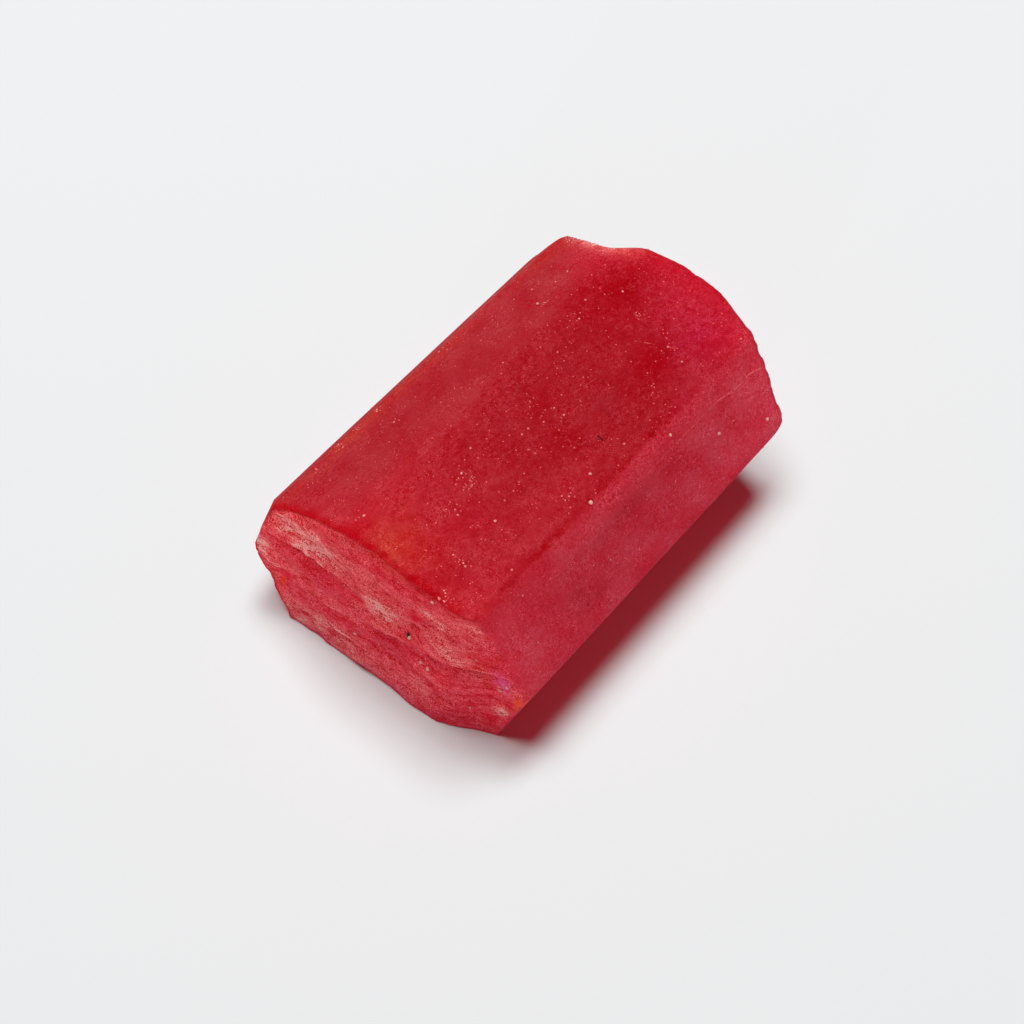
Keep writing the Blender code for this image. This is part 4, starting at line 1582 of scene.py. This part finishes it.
@dataclass
class Grains:
    """Sand grains and splinters that stick to the stone: the ones that show, and many tiny ones."""

    strewn: int = 170
    smallest: float = 0.035
    largest: float = 0.080
    sunk: float = 0.25
    flatness: float = 0.75
    rings: int = 4
    around: int = 7
    seed: int = 8

    def lumps(self, rng: np.random.Generator, count: int) -> Array:
        """Uneven round lumps: unit spheres whose every point moves in or out by up to 0.3.

        Args:
            rng: The random numbers.
            count: How many lumps.

        Returns:
            Their points, shape (count, points, 3), both poles first.
        """
        tilt = (np.arange(self.rings) + 1) / (self.rings + 1) * math.pi
        turn = np.arange(self.around) / self.around * math.tau
        tilt, turn = np.meshgrid(tilt, turn, indexing="ij")
        rings = np.stack([np.sin(tilt) * np.cos(turn), np.sin(tilt) * np.sin(turn), np.cos(tilt)], axis=-1)
        ball = np.concatenate([[[0.0, 0.0, 1.0], [0.0, 0.0, -1.0]], rings.reshape(-1, 3)])
        uneven = rng.uniform(0.7, 1.3, (count, len(ball), 1))
        stretch = rng.uniform((0.80, 0.80, 0.7), (1.15, 1.15, 1.0), (count, 3))[:, None]
        return ball * uneven * stretch

    def faces(self, count: int) -> list[Array]:
        """Faces of all lumps: two fans and the rings of four-sided faces between them.

        Args:
            count: How many lumps.

        Returns:
            Blocks of faces.
        """
        place = np.arange(self.around)
        beside = (place + 1) % self.around
        last = (self.rings - 1) * self.around + 2
        top = np.stack([np.zeros_like(place), place + 2, beside + 2], axis=-1)
        foot = np.stack([np.ones_like(place), beside + last, place + last], axis=-1)
        upper = np.arange(self.rings - 1)[:, None] * self.around + 2
        lower = upper + self.around
        band = np.stack([upper + place, lower + place, lower + beside, upper + beside], axis=-1)
        start = np.arange(count)[:, None, None] * (self.rings * self.around + 2)
        blocks = (top, foot, band.reshape(-1, 4))
        return [(start + block).reshape(-1, block.shape[-1]) for block in blocks]

    def build(self, stone: bpy.types.Object, crystal: Crystal) -> bpy.types.Object:
        """Seats every grain on the stone's nearest point, facing the way the skin faces there.

        Args:
            stone: The stone's object.
            crystal: The stone's sizes.

        Returns:
            The grains, as one object.
        """
        rng = np.random.default_rng(self.seed)
        mesh = stone.data
        skin = np.empty(len(mesh.vertices) * 3)
        facing = np.empty(len(mesh.vertices) * 3)
        mesh.vertices.foreach_get("co", skin)
        mesh.vertex_normals.foreach_get("vector", facing)
        skin = skin.reshape(-1, 3) / MM
        facing = facing.reshape(-1, 3)
        seats = [int(((skin - np.array(grain.place)) ** 2).sum(axis=-1).argmin()) for grain in GRAINS]
        seats = np.concatenate([seats, crystal.strew(rng, self.strewn)])
        strewn_radius = rng.uniform(self.smallest, self.largest, self.strewn)
        radius = np.concatenate([[grain.radius for grain in GRAINS], strewn_radius])
        tones = np.array([grain.tone.value for grain in GRAINS])
        pale = rng.uniform(0.0, 1.0, (self.strewn, 1))
        strewn_tones = np.array(Tone.CANDY.value) * (1 - pale) + np.array(Tone.FROST.value) * pale

        up = unit(facing[seats])
        side = unit(np.cross(up, rng.normal(size=up.shape)))
        ahead = np.cross(up, side)
        lumps = self.lumps(rng, len(seats)) * radius[:, None, None]
        centre = skin[seats] + up * (radius * (self.flatness - self.sunk) * 0.5)[:, None]
        points = centre[:, None] + lumps[..., :1] * side[:, None] + lumps[..., 1:2] * ahead[:, None]
        points = points + lumps[..., 2:] * self.flatness * up[:, None]
        grains = mesh_object("stuck_grains", points.reshape(-1, 3), self.faces(len(seats)))
        tint = np.repeat(np.concatenate([tones, strewn_tones]), lumps.shape[1], axis=0)
        add_colours(grains, "tint", np.concatenate([tint, np.ones_like(tint[:, :1])], axis=-1))
        return grains

    def dress(self, grains: bpy.types.Object, patterns: Patterns) -> None:
        """Gives the grains their finish.

        Args:
            grains: The grains' object.
            patterns: The shared node groups.
        """
        grains.data.materials.append(GrainFinish().make(patterns))
        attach(grains, "root")


@dataclass(frozen=True)
class Lamp:
    """A round soft light: how far from overhead it hangs, its heading from +X, size and watts."""

    name: str
    tilt: float
    heading: float
    size: float
    power: float


@dataclass
class Studio:
    """A sheet of plain paper, soft light and the camera."""

    floor_size: float = 1000.0
    floor_gap: float = 0.02
    aim: Triple = (-4.25, -2.15, 9.5)
    azimuth: float = -49.6
    elevation: float = 60.0
    distance: float = 164.8
    lens: float = 61.52
    sensor: float = 36.0
    nearest: float = 1.0
    lamp_aim: Triple = (0.0, 0.0, 9.5)
    lamp_distance: float = 1400.0
    lamps: tuple[Lamp, ...] = (
        Lamp("left_box", 13.8, 86.5, 624.0, 11.9),
        Lamp("back_box", 19.8, 21.3, 442.0, 9.5),
        Lamp("low_front", 88.5, 197.0, 70.0, 4.7),
    )
    dim: Colour = (0.004, 0.004, 0.004, 1.0)
    pale: Colour = (0.84, 0.84, 0.85, 1.0)

    def make_lights(self) -> None:
        """Hangs the lamps on a dome round the stone's middle, facing it."""
        for lamp in self.lamps:
            tilt = math.radians(lamp.tilt)
            heading = math.radians(lamp.heading)
            across = math.sin(tilt)
            towards = Vector((math.cos(heading) * across, math.sin(heading) * across, math.cos(tilt)))
            light = bpy.data.lights.new(lamp.name, "AREA")
            light.shape = "DISK"
            light.size = lamp.size * MM
            light.energy = lamp.power
            holder = bpy.data.objects.new(lamp.name, light)
            holder.location = (Vector(self.lamp_aim) + towards * self.lamp_distance) * MM
            holder.rotation_euler = towards.to_track_quat("Z", "Y").to_euler()
            bpy.context.scene.collection.objects.link(holder)

    def make_world(self) -> None:
        """Pale surroundings for the camera that give little light."""
        world = bpy.data.worlds.new("studio")
        world.use_nodes = True
        bench = NodeBench(world.node_tree)
        seen = bench.add("ShaderNodeLightPath").outputs["Is Camera Ray"]
        shade = bench.mix(seen, self.dim, self.pale)
        bench.feed(world.node_tree.nodes["Background"], {"Color": shade})
        bpy.context.scene.world = world

    def make_floor(self, patterns: Patterns) -> bpy.types.Object:
        """Lays the sheet just under the stone.

        Args:
            patterns: The shared node groups.

        Returns:
            The floor.
        """
        half = self.floor_size / 2
        corners = np.array([[-half, -half], [half, -half], [half, half], [-half, half]])
        points = np.concatenate([corners, np.full((4, 1), -self.floor_gap)], axis=1)
        floor = mesh_object("floor", points, [np.arange(4)[None]])
        floor.data.materials.append(PaperFinish().make(patterns))
        return floor

    def make_camera(self) -> None:
        """Sets the camera at the photograph's viewing angle."""
        tilt = math.radians(self.elevation)
        heading = math.radians(self.azimuth)
        level = math.cos(tilt)
        back = Vector((math.sin(heading) * level, -math.cos(heading) * level, math.sin(tilt)))
        lens = bpy.data.cameras.new("camera")
        lens.sensor_width = self.sensor
        lens.lens = self.lens
        lens.clip_start = self.nearest * MM
        camera = bpy.data.objects.new("camera", lens)
        camera.location = (Vector(self.aim) + back * self.distance) * MM
        camera.rotation_euler = Euler((math.pi / 2 - tilt, 0.0, heading))
        bpy.context.scene.collection.objects.link(camera)
        bpy.context.scene.camera = camera


def main() -> None:
    """Builds the stone and the studio, and reports each piece."""
    logging.basicConfig(level=logging.INFO)
    patterns = Patterns.make()
    crystal = Crystal()
    stone = crystal.build()
    crystal.dress(stone, patterns)
    LOG.info("%s: %d faces", stone.name, len(stone.data.polygons))

    stuck = Grains()
    grains = stuck.build(stone, crystal)
    stuck.dress(grains, patterns)
    LOG.info("%s: %d faces", grains.name, len(grains.data.polygons))

    studio = Studio()
    studio.make_floor(patterns)
    studio.make_lights()
    studio.make_world()
    studio.make_camera()
    bpy.context.scene.view_settings.view_transform = "Standard"
    LOG.info("studio: floor, %d lamps, world and camera", len(studio.lamps))


if __name__ == "__main__":
    main()
